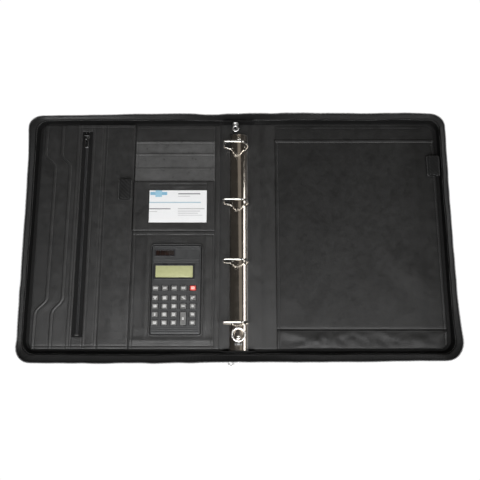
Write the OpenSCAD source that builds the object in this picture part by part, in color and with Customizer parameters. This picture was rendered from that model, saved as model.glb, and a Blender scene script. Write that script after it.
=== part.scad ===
// Zip-around A4 ring-binder portfolio case, lying open flat, inside up.
// Millimetres. Origin: middle of the spine's outer face. +X towards the pad
// side, +Y towards the top edge, +Z out of the open case.
// Every module is one piece of the case, drawn where it sits.

/* [Show] */
// piece to draw, or all

/* [Case] */
// distance from the spine's middle to each cover's fold line
fold_x = 29.5; // [26:0.5:34]
// outer edge of each cover at its base
cover_x = 278; // [250:1:300]
// lower edge of the covers at the base
low_y = -157; // [-180:1:-140]
// upper edge of the covers at the base
high_y = 160.5; // [140:0.5:180]
// thickness of a finished cover
cover_t = 3.6; // [3:0.1:5]
// thickness of the outer leatherette skin
skin_t = 1.2; // [0.8:0.1:1.6]
// corner radius of the covers
corner_r = 14; // [8:1:24]

/* [Zip wall] */
// height of the wall's top edge above the table
wall_z = 28.4; // [24:0.2:30]
// wall thickness
wall_t = 1.6; // [1:0.1:2.4]
// outward lean of the side walls
lean_side = 2.5; // [0:0.5:8]
// outward lean of the lower walls
lean_low = 12.5; // [0:0.5:15]
// outward lean of the upper walls
lean_high = 3; // [0:0.5:8]
// height of the zip chain on the wall
chain_h = 2.4; // [1.6:0.1:3]

/* [Rings] */
// distance between neighbouring rings
ring_pitch = 80; // [80:1:80]
// radius of the ring wire
wire_r = 1.5; // [1.2:0.1:2]
// height of the wire's middle along the ring's flat top
ring_top = 36; // [34:0.5:40]
// width of the plate that carries the rings
plate_w = 24.4; // [22:0.2:30]

/* [Calculator] */
// calculator width
calc_w = 64.7; // [60:0.1:70]
// calculator length
calc_l = 117.4; // [110:0.1:125]
// top face of the calculator
calc_top = 9; // [8:0.1:10]
// spacing of the key columns
key_px = 12.3; // [11:0.1:13]
// spacing of the lower key rows
key_py = 10.8; // [10:0.1:12]

/* [Hidden] */
$fn = 48;
knuckle_r = cover_t/2;
spine_x = fold_x - knuckle_r - 0.3;
plate_rise = 6.6;
plate_r = (plate_w*plate_w/4 + plate_rise*plate_rise)/(2*plate_rise);
plate_cz = cover_t + plate_rise - plate_r;
plate_top = cover_t + plate_rise;
blade_x = 9.2;
blade_z = 4.7;
lever_y = -146.5;
lever_z = 11.8;
calc_cx = -82.35;
calc_cy = -75;
key_x0 = -109;
key_y0 = -73.8;
panel_low = -153;
panel_high = 156;
zip_cx = -210;

// rectangle with rounded corners from (x0,y0) to (x1,y1)
module round_rect(x0, y0, x1, y1, r) {
  union() {
    translate([x0 + r, y0]) square([x1 - x0 - 2*r, y1 - y0]);
    translate([x0, y0 + r]) square([x1 - x0, y1 - y0 - 2*r]);
    for (x = [x0 + r, x1 - r], y = [y0 + r, y1 - r]) translate([x, y]) circle(r);
  }
}

// box from one corner to the opposite one
module block(a, b) {
  translate(a) cube([b[0]-a[0], b[1]-a[1], b[2]-a[2]]);
}

// a cover's outline on the pad side, rounded at the two outer corners only
module cover_outline(inset) {
  intersection() {
    round_rect(-cover_x, low_y + inset, cover_x - inset, high_y - inset, corner_r - inset/2);
    translate([fold_x + (inset > 0 ? 3.5 : 0), low_y - 1]) square([cover_x, high_y - low_y + 2]);
  }
}

// outer skin with turned edge and rounded bead on its fold line
module cover_skin() {
  difference() {
    union() {
      linear_extrude(cover_t) cover_outline(0);
      translate([fold_x, low_y, knuckle_r]) rotate([-90, 0, 0])
        cylinder(r = knuckle_r, h = high_y - low_y);
    }
    translate([0, 0, skin_t]) linear_extrude(cover_t) cover_outline(2);
  }
}

module cover_stiffener() {
  translate([0, 0, skin_t]) linear_extrude(1.8) cover_outline(2.2);
}

module cover_lining() {
  translate([0, 0, skin_t + 1.8]) linear_extrude(0.6) cover_outline(2.2);
}

// leaning wall round the three free sides of the pad-side cover
module wall_solid(inset, ends) {
  hull() {
    translate([0, 0, cover_t - ends]) linear_extrude(0.02)
      round_rect(-60, low_y + inset, cover_x - inset, high_y - inset, corner_r - inset);
    translate([0, 0, wall_z - 0.02 + ends]) linear_extrude(0.02)
      round_rect(-60, low_y - lean_low + inset, cover_x + lean_side - inset, high_y + lean_high - inset, corner_r + 4 - inset);
  }
}

module gusset_wall() {
  difference() {
    wall_solid(0, 0);
    wall_solid(wall_t, 0.05);
    block([-70, -200, 0], [fold_x + 2, 200, 40]);
  }
}

// zip chain along the wall's top edge
module zip_chain() {
  translate([0, 0, wall_z]) linear_extrude(chain_h) difference() {
    round_rect(-60, low_y - lean_low, cover_x + lean_side, high_y + lean_high, corner_r + 4);
    round_rect(-80, low_y - lean_low + 2.6, cover_x + lean_side - 2.6, high_y + lean_high - 2.6, corner_r + 1.4);
    translate([-70, -200]) square([70 + fold_x + 2, 400]);
  }
}

// pull tab with a barrel on its swing axis (the X axis here), hanging towards -Y
module pull_tab(w, l, t) {
  difference() {
    union() {
      rotate([0, 90, 0]) cylinder(r = 1.2, h = 3.4, center = true);
      block([-1.4, -4, -t/2], [1.4, 0, t/2]);
      translate([0, -3.2 - w/2, -t/2]) linear_extrude(t) union() {
        circle(w/2);
        translate([-w/2, -(l - w)]) square([w, l - w]);
        translate([0, -(l - w)]) circle(w/2);
      }
    }
    translate([0, -3.2 - w/2, -t]) linear_extrude(2*t) union() {
      circle(w/2 - 1.7);
      translate([-(w/2 - 1.7), -(l - w)]) square([w - 3.4, l - w]);
      translate([0, -(l - w)]) circle(w/2 - 1.7);
    }
    rotate([0, 90, 0]) cylinder(r = 0.75, h = 6, center = true);
  }
}

// two ears and the pin that a pull tab swings on, ears reaching in direction d by len
module pull_ears(dir, len) {
  rotate([0, 90, 0]) cylinder(r = 0.7, h = 5.6, center = true);
  for (s = [-1, 1]) hull_free_ear(s, dir, len);
}

module hull_free_ear(s, dir, len) {
  translate([s*2.4, 0, 0]) union() {
    rotate([0, 90, 0]) cylinder(r = 1.3, h = 1, center = true);
    if (dir == "down") block([-0.5, -1.3, -len], [0.5, 1.3, 0]);
    if (dir == "back") block([-0.5, 0, -1.3], [0.5, len, 1.3]);
  }
}

// ---- spine ----
module spine_cover() {
  color([0.13, 0.13, 0.13]) difference() {
    block([-spine_x, low_y, 0], [spine_x, high_y, cover_t]);
    block([-spine_x + 2, low_y + 2, skin_t], [spine_x - 2, high_y - 2, cover_t + 1]);
  }
}

module rivet_places() {
  for (y = [134, -138]) translate([0, y, 0]) children();
}

module spine_board() {
  color([0.55, 0.5, 0.42]) difference() {
    block([-spine_x + 2.1, low_y + 2.1, skin_t], [spine_x - 2.1, high_y - 2.1, cover_t]);
    rivet_places() cylinder(r = 1.55, h = 8);
  }
}

// short webs that close the ends of the spine
module spine_end_gussets() {
  color([0.1, 0.1, 0.1]) {
    block([-22, high_y - 3.3, cover_t], [22, high_y - 2.1, 16]);
    block([-22, low_y, cover_t], [22, low_y + 1.2, 16]);
  }
}

module plate_section() {
  intersection() {
    difference() {
      translate([0, plate_cz]) circle(plate_r, $fn = 96);
      translate([0, plate_cz]) circle(plate_r - 0.9, $fn = 96);
    }
    translate([-plate_w, cover_t]) square([2*plate_w, 20]);
  }
}

module mechanism_plate() {
  color([0.75, 0.72, 0.68]) union() {
    difference() {
      translate([0, 141, 0]) rotate([90, 0, 0]) linear_extrude(296) plate_section();
      for (i = [-1.5 : 1 : 1.5], s = [-1, 1])
        translate([s*10.4, i*ring_pitch, 0]) block([-2.9, -2.1, 3.95], [2.9, 2.1, 20]);
      rivet_places() cylinder(r = 1.55, h = 20);
    }
    for (s = [-1, 1]) translate([s*3.9, lever_y, 0]) difference() {
      union() {
        block([-0.6, -2, plate_top - 1.2], [0.6, 2, lever_z]);
        translate([0, 0, lever_z]) rotate([0, 90, 0]) cylinder(r = 2, h = 1.2, center = true);
      }
      translate([0, 0, lever_z]) rotate([0, 90, 0]) cylinder(r = 0.85, h = 4, center = true);
    }
  }
}

module mechanism_rivets() {
  color([0.7, 0.68, 0.64]) rivet_places() union() {
    translate([0, 0, skin_t + 0.1]) cylinder(r = 1.5, h = plate_top - skin_t);
    translate([0, 0, plate_top]) cylinder(r1 = 2.4, r2 = 1.5, h = 1);
  }
}

module main_zip_sliders() {
  color([0.72, 0.72, 0.72]) {
    translate([-4.2, 0, 0]) union() {
      block([-4.2, 151.8, 8], [4.2, high_y - 3.3, 14.6]);
      translate([0, 154.2, 17.2]) pull_ears("down", 3);
    }
    translate([-9.4, 0, 0]) union() {
      block([-3.6, -161, 0.4], [3.6, low_y, 3.4]);
      translate([0, -163.4, 1.9]) pull_ears("back", 3);
    }
  }
}

module top_zip_pull() {
  color([0.75, 0.75, 0.75]) translate([-4.2, 154.2, 17.2]) pull_tab(9.6, 9.8, 1.4);
}

module bottom_zip_pull() {
  color([0.75, 0.75, 0.75]) translate([-9.4, -163.4, 1.9]) pull_tab(8.4, 9, 1.4);
}

// ---- rings: each set is a hinge blade with four half rings ----
module wire(a, b) {
  d = b - a;
  l = norm(d);
  translate(a) rotate([0, acos(d[2]/l), atan2(d[1], d[0])]) cylinder(r = wire_r, h = l);
}

module blade() {
  union() {
    block([-blade_x, -131, blade_z - 0.4], [-0.12, 131, blade_z + 0.4]);
    translate([-blade_x, -131, blade_z]) rotate([-90, 0, 0]) cylinder(r = 0.4, h = 262);
  }
}

// one ring's wire along [x, z] points, swollen a little at each bend. The left legs lean in
// above z = 20, so that the folded calculator clears them.
module bent_wire(p, swell) {
  union() {
    for (i = [0 : len(p) - 2]) wire([p[i][0], 0, p[i][1]], [p[i+1][0], 0, p[i+1][1]]);
    for (i = [1 : len(p) - 2]) translate([p[i][0], 0, p[i][1]]) sphere(wire_r + swell);
  }
}

module left_ring_set() {
  color([0.8, 0.79, 0.76]) union() {
    blade();
    for (i = [-1.5 : 1 : 1.5]) translate([0, i*ring_pitch, 0])
      bent_wire([[-9, 5], [-20.7, 14.5], [-19, ring_top], [-16.5, ring_top]], 0.12);
  }
}

module right_ring_set() {
  color([0.8, 0.79, 0.76]) union() {
    mirror([1, 0, 0]) blade();
    for (i = [-1.5 : 1 : 1.5]) translate([0, i*ring_pitch, 0])
      bent_wire([[-16.3, ring_top], [4, ring_top], [11.6, 28], [13.7, 16], [9.3, 5]], 0.06);
  }
}

module trigger_lever() {
  color([0.85, 0.84, 0.82]) translate([0, lever_y, lever_z]) union() {
    translate([0, 12, 0]) rotate_extrude() translate([8.3, 0]) circle(1.1, $fn = 24);
    block([-2.4, 0, -0.9], [2.4, 4.4, 0.9]);
    rotate([0, 90, 0]) cylinder(r = 1.4, h = 6.2, center = true);
    rotate([0, 90, 0]) cylinder(r = 0.8, h = 9, center = true);
  }
}

// ---- organiser side ----
module left_cover() { color([0.14, 0.14, 0.14]) mirror([1, 0, 0]) cover_skin(); }
module left_board() { color([0.55, 0.5, 0.42]) mirror([1, 0, 0]) cover_stiffener(); }
module left_lining() { color([0.16, 0.16, 0.16]) mirror([1, 0, 0]) cover_lining(); }
module left_gusset() { color([0.12, 0.12, 0.12]) mirror([1, 0, 0]) gusset_wall(); }
module left_zip_chain() { color([0.08, 0.08, 0.08]) mirror([1, 0, 0]) zip_chain(); }

// edge of a pocket, cut back for the hand in its middle
module pocket_outline(edge, cut) {
  polygon([[edge, panel_low], [-144, panel_low], [-144, panel_high], [edge, panel_high],
    [edge, 112], [edge + cut, 95], [edge + cut, -88], [edge, -106]]);
}

module document_pockets() {
  color([0.17, 0.17, 0.17]) {
    translate([0, 0, 3.7]) linear_extrude(0.8) pocket_outline(-270, 15);
    translate([0, 0, 4.7]) linear_extrude(0.8) pocket_outline(-247, 13);
  }
}

module zip_pocket_panel() {
  color([0.17, 0.17, 0.17]) difference() {
    block([-224, panel_low, 5.7], [-144, panel_high, 6.7]);
    block([zip_cx - 7, -137, 5], [zip_cx + 7, 146, 8]);
  }
}

module inner_zip_chain() {
  color([0.07, 0.07, 0.07]) block([zip_cx - 6.9, -136.9, 5.7], [zip_cx + 6.9, 145.9, 6.6]);
}

module inner_zip_slider() {
  color([0.2, 0.2, 0.2]) translate([zip_cx, 0, 0]) union() {
    block([-4, 132, 6.8], [4, 142, 9.2]);
    translate([0, 138, 11]) pull_ears("down", 2);
  }
}

module inner_zip_pull() {
  color([0.2, 0.2, 0.2]) translate([zip_cx, 138, 11]) pull_tab(7, 15, 1.2);
}

// one slot layer: a panel with a gap behind it, closed at sides and bottom
module slot_layer(z, top) {
  difference() {
    block([-142, 5, z], [-33, top, z + 1.1]);
    block([-139, 7, z - 1], [-36, top + 1, z + 0.5]);
  }
}

module card_pockets() {
  color([0.2, 0.2, 0.2]) union() {
    block([-142, panel_low, 3.7], [-33, panel_high, 4.2]);
    slot_layer(4.2, 132);
    slot_layer(5.3, 114);
    slot_layer(6.4, 93);
    difference() {
      block([-142, 5, 7.5], [-33, 73, 8.1]);
      block([-139, 7, 7.5], [-36, 80, 9]);
    }
  }
}

module card_window_panel() {
  color([0.2, 0.2, 0.2]) difference() {
    block([-142, 5, 8.2], [-33, 73, 8.9]);
    block([-121, 15, 8], [-43, 60, 9]);
  }
}

module business_card() {
  color([0.95, 0.95, 0.95]) block([-124.5, 9, 7.65], [-39.5, 64, 7.95]);
}

module calculator_holder() {
  color([0.18, 0.18, 0.18]) translate([calc_cx, calc_cy, 0]) difference() {
    translate([0, 0, 4.3]) linear_extrude(2.3)
      round_rect(-calc_w/2 - 3.3, -calc_l/2 - 3.3, calc_w/2 + 3.3, calc_l/2 + 3.3, 6);
    translate([0, 0, 5]) linear_extrude(3)
      round_rect(-calc_w/2 - 0.4, -calc_l/2 - 0.4, calc_w/2 + 0.4, calc_l/2 + 0.4, 4);
  }
}

module pen_loop(cx, w, z0, h, y0, y1) {
  translate([cx, y1, z0 + h/2]) rotate([90, 0, 0]) linear_extrude(y1 - y0) difference() {
    round_rect(-w/2, -h/2, w/2, h/2, h/2 - 0.1);
    round_rect(-w/2 + 1.1, -h/2 + 1.1, w/2 - 1.1, h/2 - 1.1, h/2 - 1.2);
  }
}

module left_pen_loop() { color([0.1, 0.1, 0.1]) pen_loop(-154, 17.6, 6.8, 8.6, 47, 74); }

// ---- calculator ----
module calculator_case() {
  color([0.25, 0.26, 0.27]) difference() {
    translate([calc_cx, calc_cy, 5.1]) linear_extrude(calc_top - 5.1)
      round_rect(-calc_w/2, -calc_l/2, calc_w/2, calc_l/2, 4);
    block([-110.3, -60.7, calc_top - 1.3], [-59.6, -43.5, 20]);
    block([-110.1, -30.5, calc_top - 1.1], [-85.3, -23, 20]);
    for (r = [0 : 4], c = [0 : 4]) key_space(r, c, 0.3, 6.2, 20);
    key_space(3.5, 3, 0.3, 6.2, 20);
  }
}

function key_y(r) = r == 0 ? key_y0 : key_y0 - 12.9 - (r - 1)*key_py;

// the room of one key, c clear all round
module key_space(r, c, clear, z0, z1) {
  tall = (c == 3 && r >= 3) ? (r == 3.5 ? key_py/2 + 0.6 : 0) : 0;
  translate([key_x0 + c*key_px, key_y(r), 0])
    block([-4.2 - clear, -3.5 - clear - tall, z0], [4.2 + clear, 3.5 + clear + tall, z1]);
}

module calculator_display() {
  color([0.66, 0.67, 0.5]) block([-110.2, -60.6, calc_top - 1.3], [-59.7, -43.6, calc_top - 0.2]);
}

module calculator_solar_cell() {
  color([0.1, 0.07, 0.06]) block([-110, -30.4, calc_top - 1.1], [-85.4, -23.1, calc_top - 0.1]);
}

// a key: body with a slightly smaller top
module key_cap(r, c) {
  tall = (c == 3 && r == 3.5) ? key_py/2 : 0;
  color(r == 0 && c == 4 ? [0.7, 0.1, 0.1] : [0.75, 0.75, 0.74])
  translate([key_x0 + c*key_px, key_y(r), 0]) union() {
    block([-4.2, -3.5 - tall, 7.2], [4.2, 3.5 + tall, 9.2]);
    block([-3.8, -3.1 - tall, 9.2], [3.8, 3.1 + tall, 9.7]);
  }
}

// ---- pad side ----
module right_cover() { color([0.14, 0.14, 0.14]) cover_skin(); }
module right_board() { color([0.55, 0.5, 0.42]) cover_stiffener(); }
module right_lining() { color([0.16, 0.16, 0.16]) cover_lining(); }
module right_gusset() { color([0.12, 0.12, 0.12]) gusset_wall(); }
module right_zip_chain() { color([0.08, 0.08, 0.08]) zip_chain(); }

// large flat pocket, open at its top edge
module pad_pocket() {
  color([0.18, 0.18, 0.18]) difference() {
    translate([0, 0, 3.7]) linear_extrude(1.8) union() {
      round_rect(50, panel_low, 274.5, 135, 12);
      translate([50, panel_low]) square([100, 288]);
      translate([50, 0]) square([224.5, 135]);
    }
    block([53, -127, 3], [272, 140, 4.7]);
  }
}

module right_pen_loop() { color([0.1, 0.1, 0.1]) pen_loop(267.2, 16.8, 5.6, 8.4, 81, 108); }

spine_cover();
spine_board();
spine_end_gussets();
mechanism_plate();
mechanism_rivets();
main_zip_sliders();
left_ring_set();
right_ring_set();
trigger_lever();
top_zip_pull();
bottom_zip_pull();
left_cover();
left_board();
left_lining();
left_gusset();
left_zip_chain();
document_pockets();
zip_pocket_panel();
inner_zip_chain();
inner_zip_slider();
inner_zip_pull();
card_pockets();
card_window_panel();
business_card();
calculator_holder();
left_pen_loop();
calculator_case();
calculator_display();
calculator_solar_cell();
right_cover();
right_board();
right_lining();
right_gusset();
right_zip_chain();
pad_pocket();
right_pen_loop();
key_cap(0, 0);  // key_row1_col1
key_cap(0, 1);  // key_row1_col2
key_cap(0, 2);  // key_row1_col3
key_cap(0, 3);  // key_row1_col4
key_cap(0, 4);  // key_row1_col5
key_cap(1, 0);  // key_row2_col1
key_cap(1, 1);  // key_row2_col2
key_cap(1, 2);  // key_row2_col3
key_cap(1, 3);  // key_row2_col4
key_cap(1, 4);  // key_row2_col5
key_cap(2, 0);  // key_row3_col1
key_cap(2, 1);  // key_row3_col2
key_cap(2, 2);  // key_row3_col3
key_cap(2, 3);  // key_row3_col4
key_cap(2, 4);  // key_row3_col5
key_cap(3, 0);  // key_row4_col1
key_cap(3, 1);  // key_row4_col2
key_cap(3, 2);  // key_row4_col3
key_cap(3.5, 3);  // key_row4_col4
key_cap(3, 4);  // key_row4_col5
key_cap(4, 0);  // key_row5_col1
key_cap(4, 1);  // key_row5_col2
key_cap(4, 2);  // key_row5_col3
key_cap(4, 4);  // key_row5_col5
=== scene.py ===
import math
import bpy
import bmesh
import numpy as np
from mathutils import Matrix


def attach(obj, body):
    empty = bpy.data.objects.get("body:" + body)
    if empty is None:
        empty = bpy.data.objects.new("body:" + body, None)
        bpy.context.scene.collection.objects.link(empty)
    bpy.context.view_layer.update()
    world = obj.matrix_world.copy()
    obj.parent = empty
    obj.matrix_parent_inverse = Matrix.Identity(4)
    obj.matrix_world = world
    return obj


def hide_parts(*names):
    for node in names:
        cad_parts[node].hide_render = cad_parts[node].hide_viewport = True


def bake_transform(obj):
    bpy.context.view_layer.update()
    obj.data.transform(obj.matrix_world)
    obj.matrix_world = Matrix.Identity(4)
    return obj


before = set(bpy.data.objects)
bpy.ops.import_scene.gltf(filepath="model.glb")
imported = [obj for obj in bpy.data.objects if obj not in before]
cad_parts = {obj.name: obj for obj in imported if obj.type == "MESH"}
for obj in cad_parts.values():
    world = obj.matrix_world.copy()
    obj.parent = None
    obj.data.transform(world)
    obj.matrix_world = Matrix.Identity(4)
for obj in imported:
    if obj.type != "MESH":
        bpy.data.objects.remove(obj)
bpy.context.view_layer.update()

FX, CX, LY, HY, CT = 29.5, 278.0, -157.0, 160.5, 3.6


# ---------------------------------------------------------------- noise
def _hash(ix, iy, seed):
    n = (ix * 374761393 + iy * 668265263 + seed * 362437) & 0xFFFFFFFF
    n = ((n ^ (n >> 13)) * 1274126177) & 0xFFFFFFFF
    return ((n ^ (n >> 16)) & 0xFFFF) / 32767.5 - 1.0


def noise(x, y, seed=1):
    x, y = np.broadcast_arrays(np.asarray(x, float), np.asarray(y, float))
    xi, yi = np.floor(x).astype(np.int64), np.floor(y).astype(np.int64)
    u, v = x - xi, y - yi
    u, v = u * u * u * (u * (u * 6 - 15) + 10), v * v * v * (v * (v * 6 - 15) + 10)
    a, b = _hash(xi, yi, seed), _hash(xi + 1, yi, seed)
    c, d = _hash(xi, yi + 1, seed), _hash(xi + 1, yi + 1, seed)
    return a + (b - a) * u + (c - a) * v + (a - b - c + d) * u * v


def fbm(x, y, seed=1, octaves=3):
    out, amp = 0.0, 1.0
    for i in range(octaves):
        out = out + amp * noise(x * 2**i, y * 2**i, seed + 17 * i)
        amp *= 0.5
    return out


def sstep(x, a, b):
    t = np.clip((np.asarray(x, float) - a) / (b - a), 0, 1)
    return t * t * (3 - 2 * t)


def bell(x, c, w):
    return np.exp(-(((np.asarray(x, float) - c) / w) ** 2))


# ---------------------------------------------------------------- mesh building
class Mesh:
    """Collects parts in millimetres and makes one object in metres."""

    def __init__(self):
        self.v, self.f, self.n = [], [], 0

    def add(self, v, f, mat=0, smooth=True):
        v = np.asarray(v, float).reshape(-1, 3)
        groups = f if isinstance(f, list) else [f]
        for g in groups:
            g = np.asarray(g, int)
            if len(g):
                self.f.append((g + self.n, mat, smooth))
        self.v.append(v)
        self.n += len(v)
        return self

    def obj(self, name, mats, sharp=None, flip=None):
        v = np.concatenate(self.v) * 0.001
        faces, mi, sm = [], [], []
        for g, m, s in self.f:
            faces.extend(g.tolist())
            mi.extend([m] * len(g))
            sm.extend([s] * len(g))
        me = bpy.data.meshes.new(name)
        me.from_pydata(v.tolist(), [], faces)
        me.polygons.foreach_set("material_index", np.array(mi, np.int32))
        me.polygons.foreach_set("use_smooth", np.array(sm, bool))
        for m in mats if isinstance(mats, (list, tuple)) else [mats]:
            me.materials.append(m)
        me.update()
        bm = bmesh.new()
        bm.from_mesh(me)
        bmesh.ops.recalc_face_normals(bm, faces=bm.faces[:])
        bm.to_mesh(me)
        bm.free()
        if sharp:
            me.set_sharp_from_angle(angle=math.radians(sharp))
        o = bpy.data.objects.new(name, me)
        bpy.context.scene.collection.objects.link(o)
        return o


def grid_faces(nu, nv, base=0, close_u=False, flip=False):
    """quads of an nu x nv vertex grid, v fastest"""
    iu = np.arange(nu if close_u else nu - 1)
    iv = np.arange(nv - 1)
    a, b = np.meshgrid(iu, iv, indexing="ij")
    a2 = (a + 1) % nu
    q = np.stack([a * nv + b, a2 * nv + b, a2 * nv + b + 1, a * nv + b + 1], -1).reshape(-1, 4)
    if flip:
        q = q[:, ::-1]
    return q + base


def slab(X, Y, ZT, ZB):
    """closed slab between two height fields over one grid (rows = y, columns = x)"""
    ny, nx = X.shape
    top = np.stack([X, Y, ZT], -1).reshape(-1, 3)
    bot = np.stack([X, Y, ZB], -1).reshape(-1, 3)
    n = ny * nx
    ft = grid_faces(ny, nx, 0, flip=True)
    fb = grid_faces(ny, nx, n)
    idx = np.arange(n).reshape(ny, nx)
    ring = np.concatenate([idx[0, :-1], idx[:-1, -1], idx[-1, :0:-1], idx[:0:-1, 0]])
    nxt = np.roll(ring, -1)
    side = np.stack([ring + n, nxt + n, nxt, ring], -1)
    return np.concatenate([top, bot]), [ft, fb, side]


def lines(a, b, step, edge=1.2, extra=()):
    """grid lines from a to b, closer together at both ends and round each extra place"""
    s = [a, a + 0.08 * edge, a + 0.3 * edge, a + 0.6 * edge, a + edge]
    s += [b, b - 0.08 * edge, b - 0.3 * edge, b - 0.6 * edge, b - edge]
    n = max(1, int(round((b - a - 2 * edge) / step)))
    s += list(np.linspace(a + edge, b - edge, n + 1))
    for e in extra:
        c, w = e if isinstance(e, tuple) else (e, 1.6)
        s += [c - w, c - 0.5 * w, c - 0.2 * w, c, c + 0.2 * w, c + 0.5 * w, c + w]
    s = sorted(x for x in s if a <= x <= b)
    out = [s[0]]
    for x in s[1:]:
        if x - out[-1] > 0.05:
            out.append(x)
    out[-1] = b
    return np.array(out)


def rounded(dist, r):
    """0 at an edge rising to 1 at distance r, as a quarter round"""
    t = np.clip(dist / r, 0, 1)
    return np.sqrt(np.clip(1 - (1 - t) ** 2, 0, 1))


def corner_map(X, Y, box, r, corners):
    """pulls a grid's square corners in to radius r. corners: list of (sx, sy)"""
    x0, y0, x1, y1 = box
    X, Y = X.copy(), Y.copy()
    for sx, sy in corners:
        cx = x1 - r if sx > 0 else x0 + r
        cy = y1 - r if sy > 0 else y0 + r
        u, v = (X - cx) * sx / r, (Y - cy) * sy / r
        m = (u > 0) & (v > 0)
        big = np.maximum(u, v)
        ln = np.sqrt(u * u + v * v) + 1e-12
        k = np.where(m, big / ln, 1.0)
        X = np.where(m, cx + sx * r * u * k, X)
        Y = np.where(m, cy + sy * r * v * k, Y)
    return X, Y


def rrect(x0, y0, x1, y1, r, n=6):
    r = max(r, 0.01)
    pts = []
    for cx, cy, a0 in ((x1 - r, y1 - r, 0), (x0 + r, y1 - r, 90), (x0 + r, y0 + r, 180), (x1 - r, y0 + r, 270)):
        for i in range(n + 1):
            a = math.radians(a0 + 90 * i / n)
            pts.append((cx + r * math.cos(a), cy + r * math.sin(a)))
    return np.array(pts)


def loft(rings, caps=True, closed=True):
    """rings: list of (k,3) arrays with equal counts, bottom to top, each anticlockwise"""
    k = len(rings[0])
    v = np.concatenate(rings)
    f = []
    for i in range(len(rings) - 1):
        a = np.arange(k) + i * k
        b = np.roll(np.arange(k), -1) + i * k
        q = np.stack([a, b, b + k, a + k], -1)
        f.append(q if closed else q[:-1])
    if caps:
        f.append(np.arange(k)[::-1][None, :])
        f.append((np.arange(k) + (len(rings) - 1) * k)[None, :])
    return v, f


def rr_prism(x0, y0, x1, y1, r, z0, z1, edge=0.5, low=0.0, seg=4, n=6, dish=0.0, draft=0.0):
    """rounded rectangular block with rounded top edge (and bottom edge if low > 0)"""
    rings = []

    def ring(d, z):
        p = rrect(x0 + d, y0 + d, x1 - d, y1 - d, max(r - d, 0.05), n)
        return np.column_stack([p, np.full(len(p), z)])

    if low > 0:
        for i in range(seg + 1):
            a = math.radians(90 * i / seg)
            rings.append(ring(low * (1 - math.sin(a)), z0 + low * (1 - math.cos(a))))
    else:
        rings.append(ring(0, z0))
    for i in range(seg + 1):
        a = math.radians(90 * i / seg)
        rings.append(ring(draft + edge * (1 - math.cos(a)), z1 - edge + edge * math.sin(a)))
    w = min(x1 - x0, y1 - y0) / 2 - draft - edge
    if dish:
        for t in (0.15, 0.4, 0.7):
            rings.append(ring(draft + edge + w * t, z1 - dish * math.sin(math.pi / 2 * min(1, t / 0.7))))
    return loft(rings)


def rr_frame(outer, inner, ro, ri, z0, z1, edge=0.4, seg=3, n=6):
    """closed frame: outer and inner boxes (x0,y0,x1,y1)"""
    rings = []

    def ring(b, r, d, z):
        p = rrect(b[0] + d, b[1] + d, b[2] - d, b[3] - d, max(r - d, 0.05), n)
        return np.column_stack([p, np.full(len(p), z)])

    rings.append(ring(outer, ro, 0, z0))
    for i in range(seg + 1):
        a = math.radians(90 * i / seg)
        rings.append(ring(outer, ro, edge * (1 - math.cos(a)), z1 - edge + edge * math.sin(a)))
    for i in range(seg + 1):
        a = math.radians(90 * i / seg)
        rings.append(ring(inner, ri, -edge * (1 - math.sin(a)), z1 - edge + edge * math.cos(a)))
    rings.append(ring(inner, ri, 0, z0))
    k = len(rings[0])
    v, f = loft(rings, caps=False)
    a = np.arange(k) + (len(rings) - 1) * k
    b = np.roll(np.arange(k), -1) + (len(rings) - 1) * k
    f.append(np.stack([a, b, b - (len(rings) - 1) * k, a - (len(rings) - 1) * k], -1))
    return v, f


def tube(pts, r, n=14, closed=False, cap=True):
    """round wire along a polyline with parallel frames"""
    p = np.asarray(pts, float)
    m = len(p)
    r = np.broadcast_to(np.asarray(r, float), (m,))
    t = np.roll(p, -1, 0) - np.roll(p, 1, 0) if closed else np.gradient(p, axis=0)
    t /= np.linalg.norm(t, axis=1)[:, None]
    u = np.cross(t[0], [0, 1, 0.0])
    if np.linalg.norm(u) < 0.1:
        u = np.cross(t[0], [1.0, 0, 0])
    u /= np.linalg.norm(u)
    rings = []
    for i in range(m):
        u = u - t[i] * (u @ t[i])
        u /= np.linalg.norm(u)
        w = np.cross(t[i], u)
        a = np.arange(n) * 2 * math.pi / n
        rings.append(p[i] + r[i] * (np.cos(a)[:, None] * u + np.sin(a)[:, None] * w))
    v = np.concatenate(rings)
    f = []
    for i in range(m if closed else m - 1):
        a = np.arange(n) + i * n
        b = np.roll(np.arange(n), -1) + i * n
        j = ((i + 1) % m - i) * n
        f.append(np.stack([a, b, b + j, a + j], -1))
    if not closed and cap:
        f.append(np.arange(n)[::-1][None, :])
        f.append((np.arange(n) + (m - 1) * n)[None, :])
    return v, f


def fillet(pts, radii, seg=8):
    """polyline with its inner corners rounded"""
    p = [np.array(q, float) for q in pts]
    out = [p[0]]
    for i in range(1, len(p) - 1):
        a, b, c = p[i - 1], p[i], p[i + 1]
        r = radii[i - 1]
        if r <= 0:
            out.append(b)
            continue
        u, w = (a - b) / np.linalg.norm(a - b), (c - b) / np.linalg.norm(c - b)
        ang = math.acos(max(-1, min(1, u @ w)))
        d = r / math.tan(ang / 2)
        s, e = b + u * d, b + w * d
        mid = (u + w) / np.linalg.norm(u + w)
        cen = b + mid * (r / math.sin(ang / 2))
        for k in range(seg + 1):
            tt = k / seg
            q = s * (1 - tt) + e * tt
            dr = q - cen
            out.append(cen + dr / np.linalg.norm(dr) * r)
    out.append(p[-1])
    return np.array(out)


def resample(pts, step):
    p = np.asarray(pts, float)
    d = np.concatenate([[0], np.cumsum(np.linalg.norm(np.diff(p, axis=0), axis=1))])
    n = max(2, int(round(d[-1] / step)) + 1)
    s = np.linspace(0, d[-1], n)
    return np.column_stack([np.interp(s, d, p[:, k]) for k in range(p.shape[1])]), s


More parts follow.
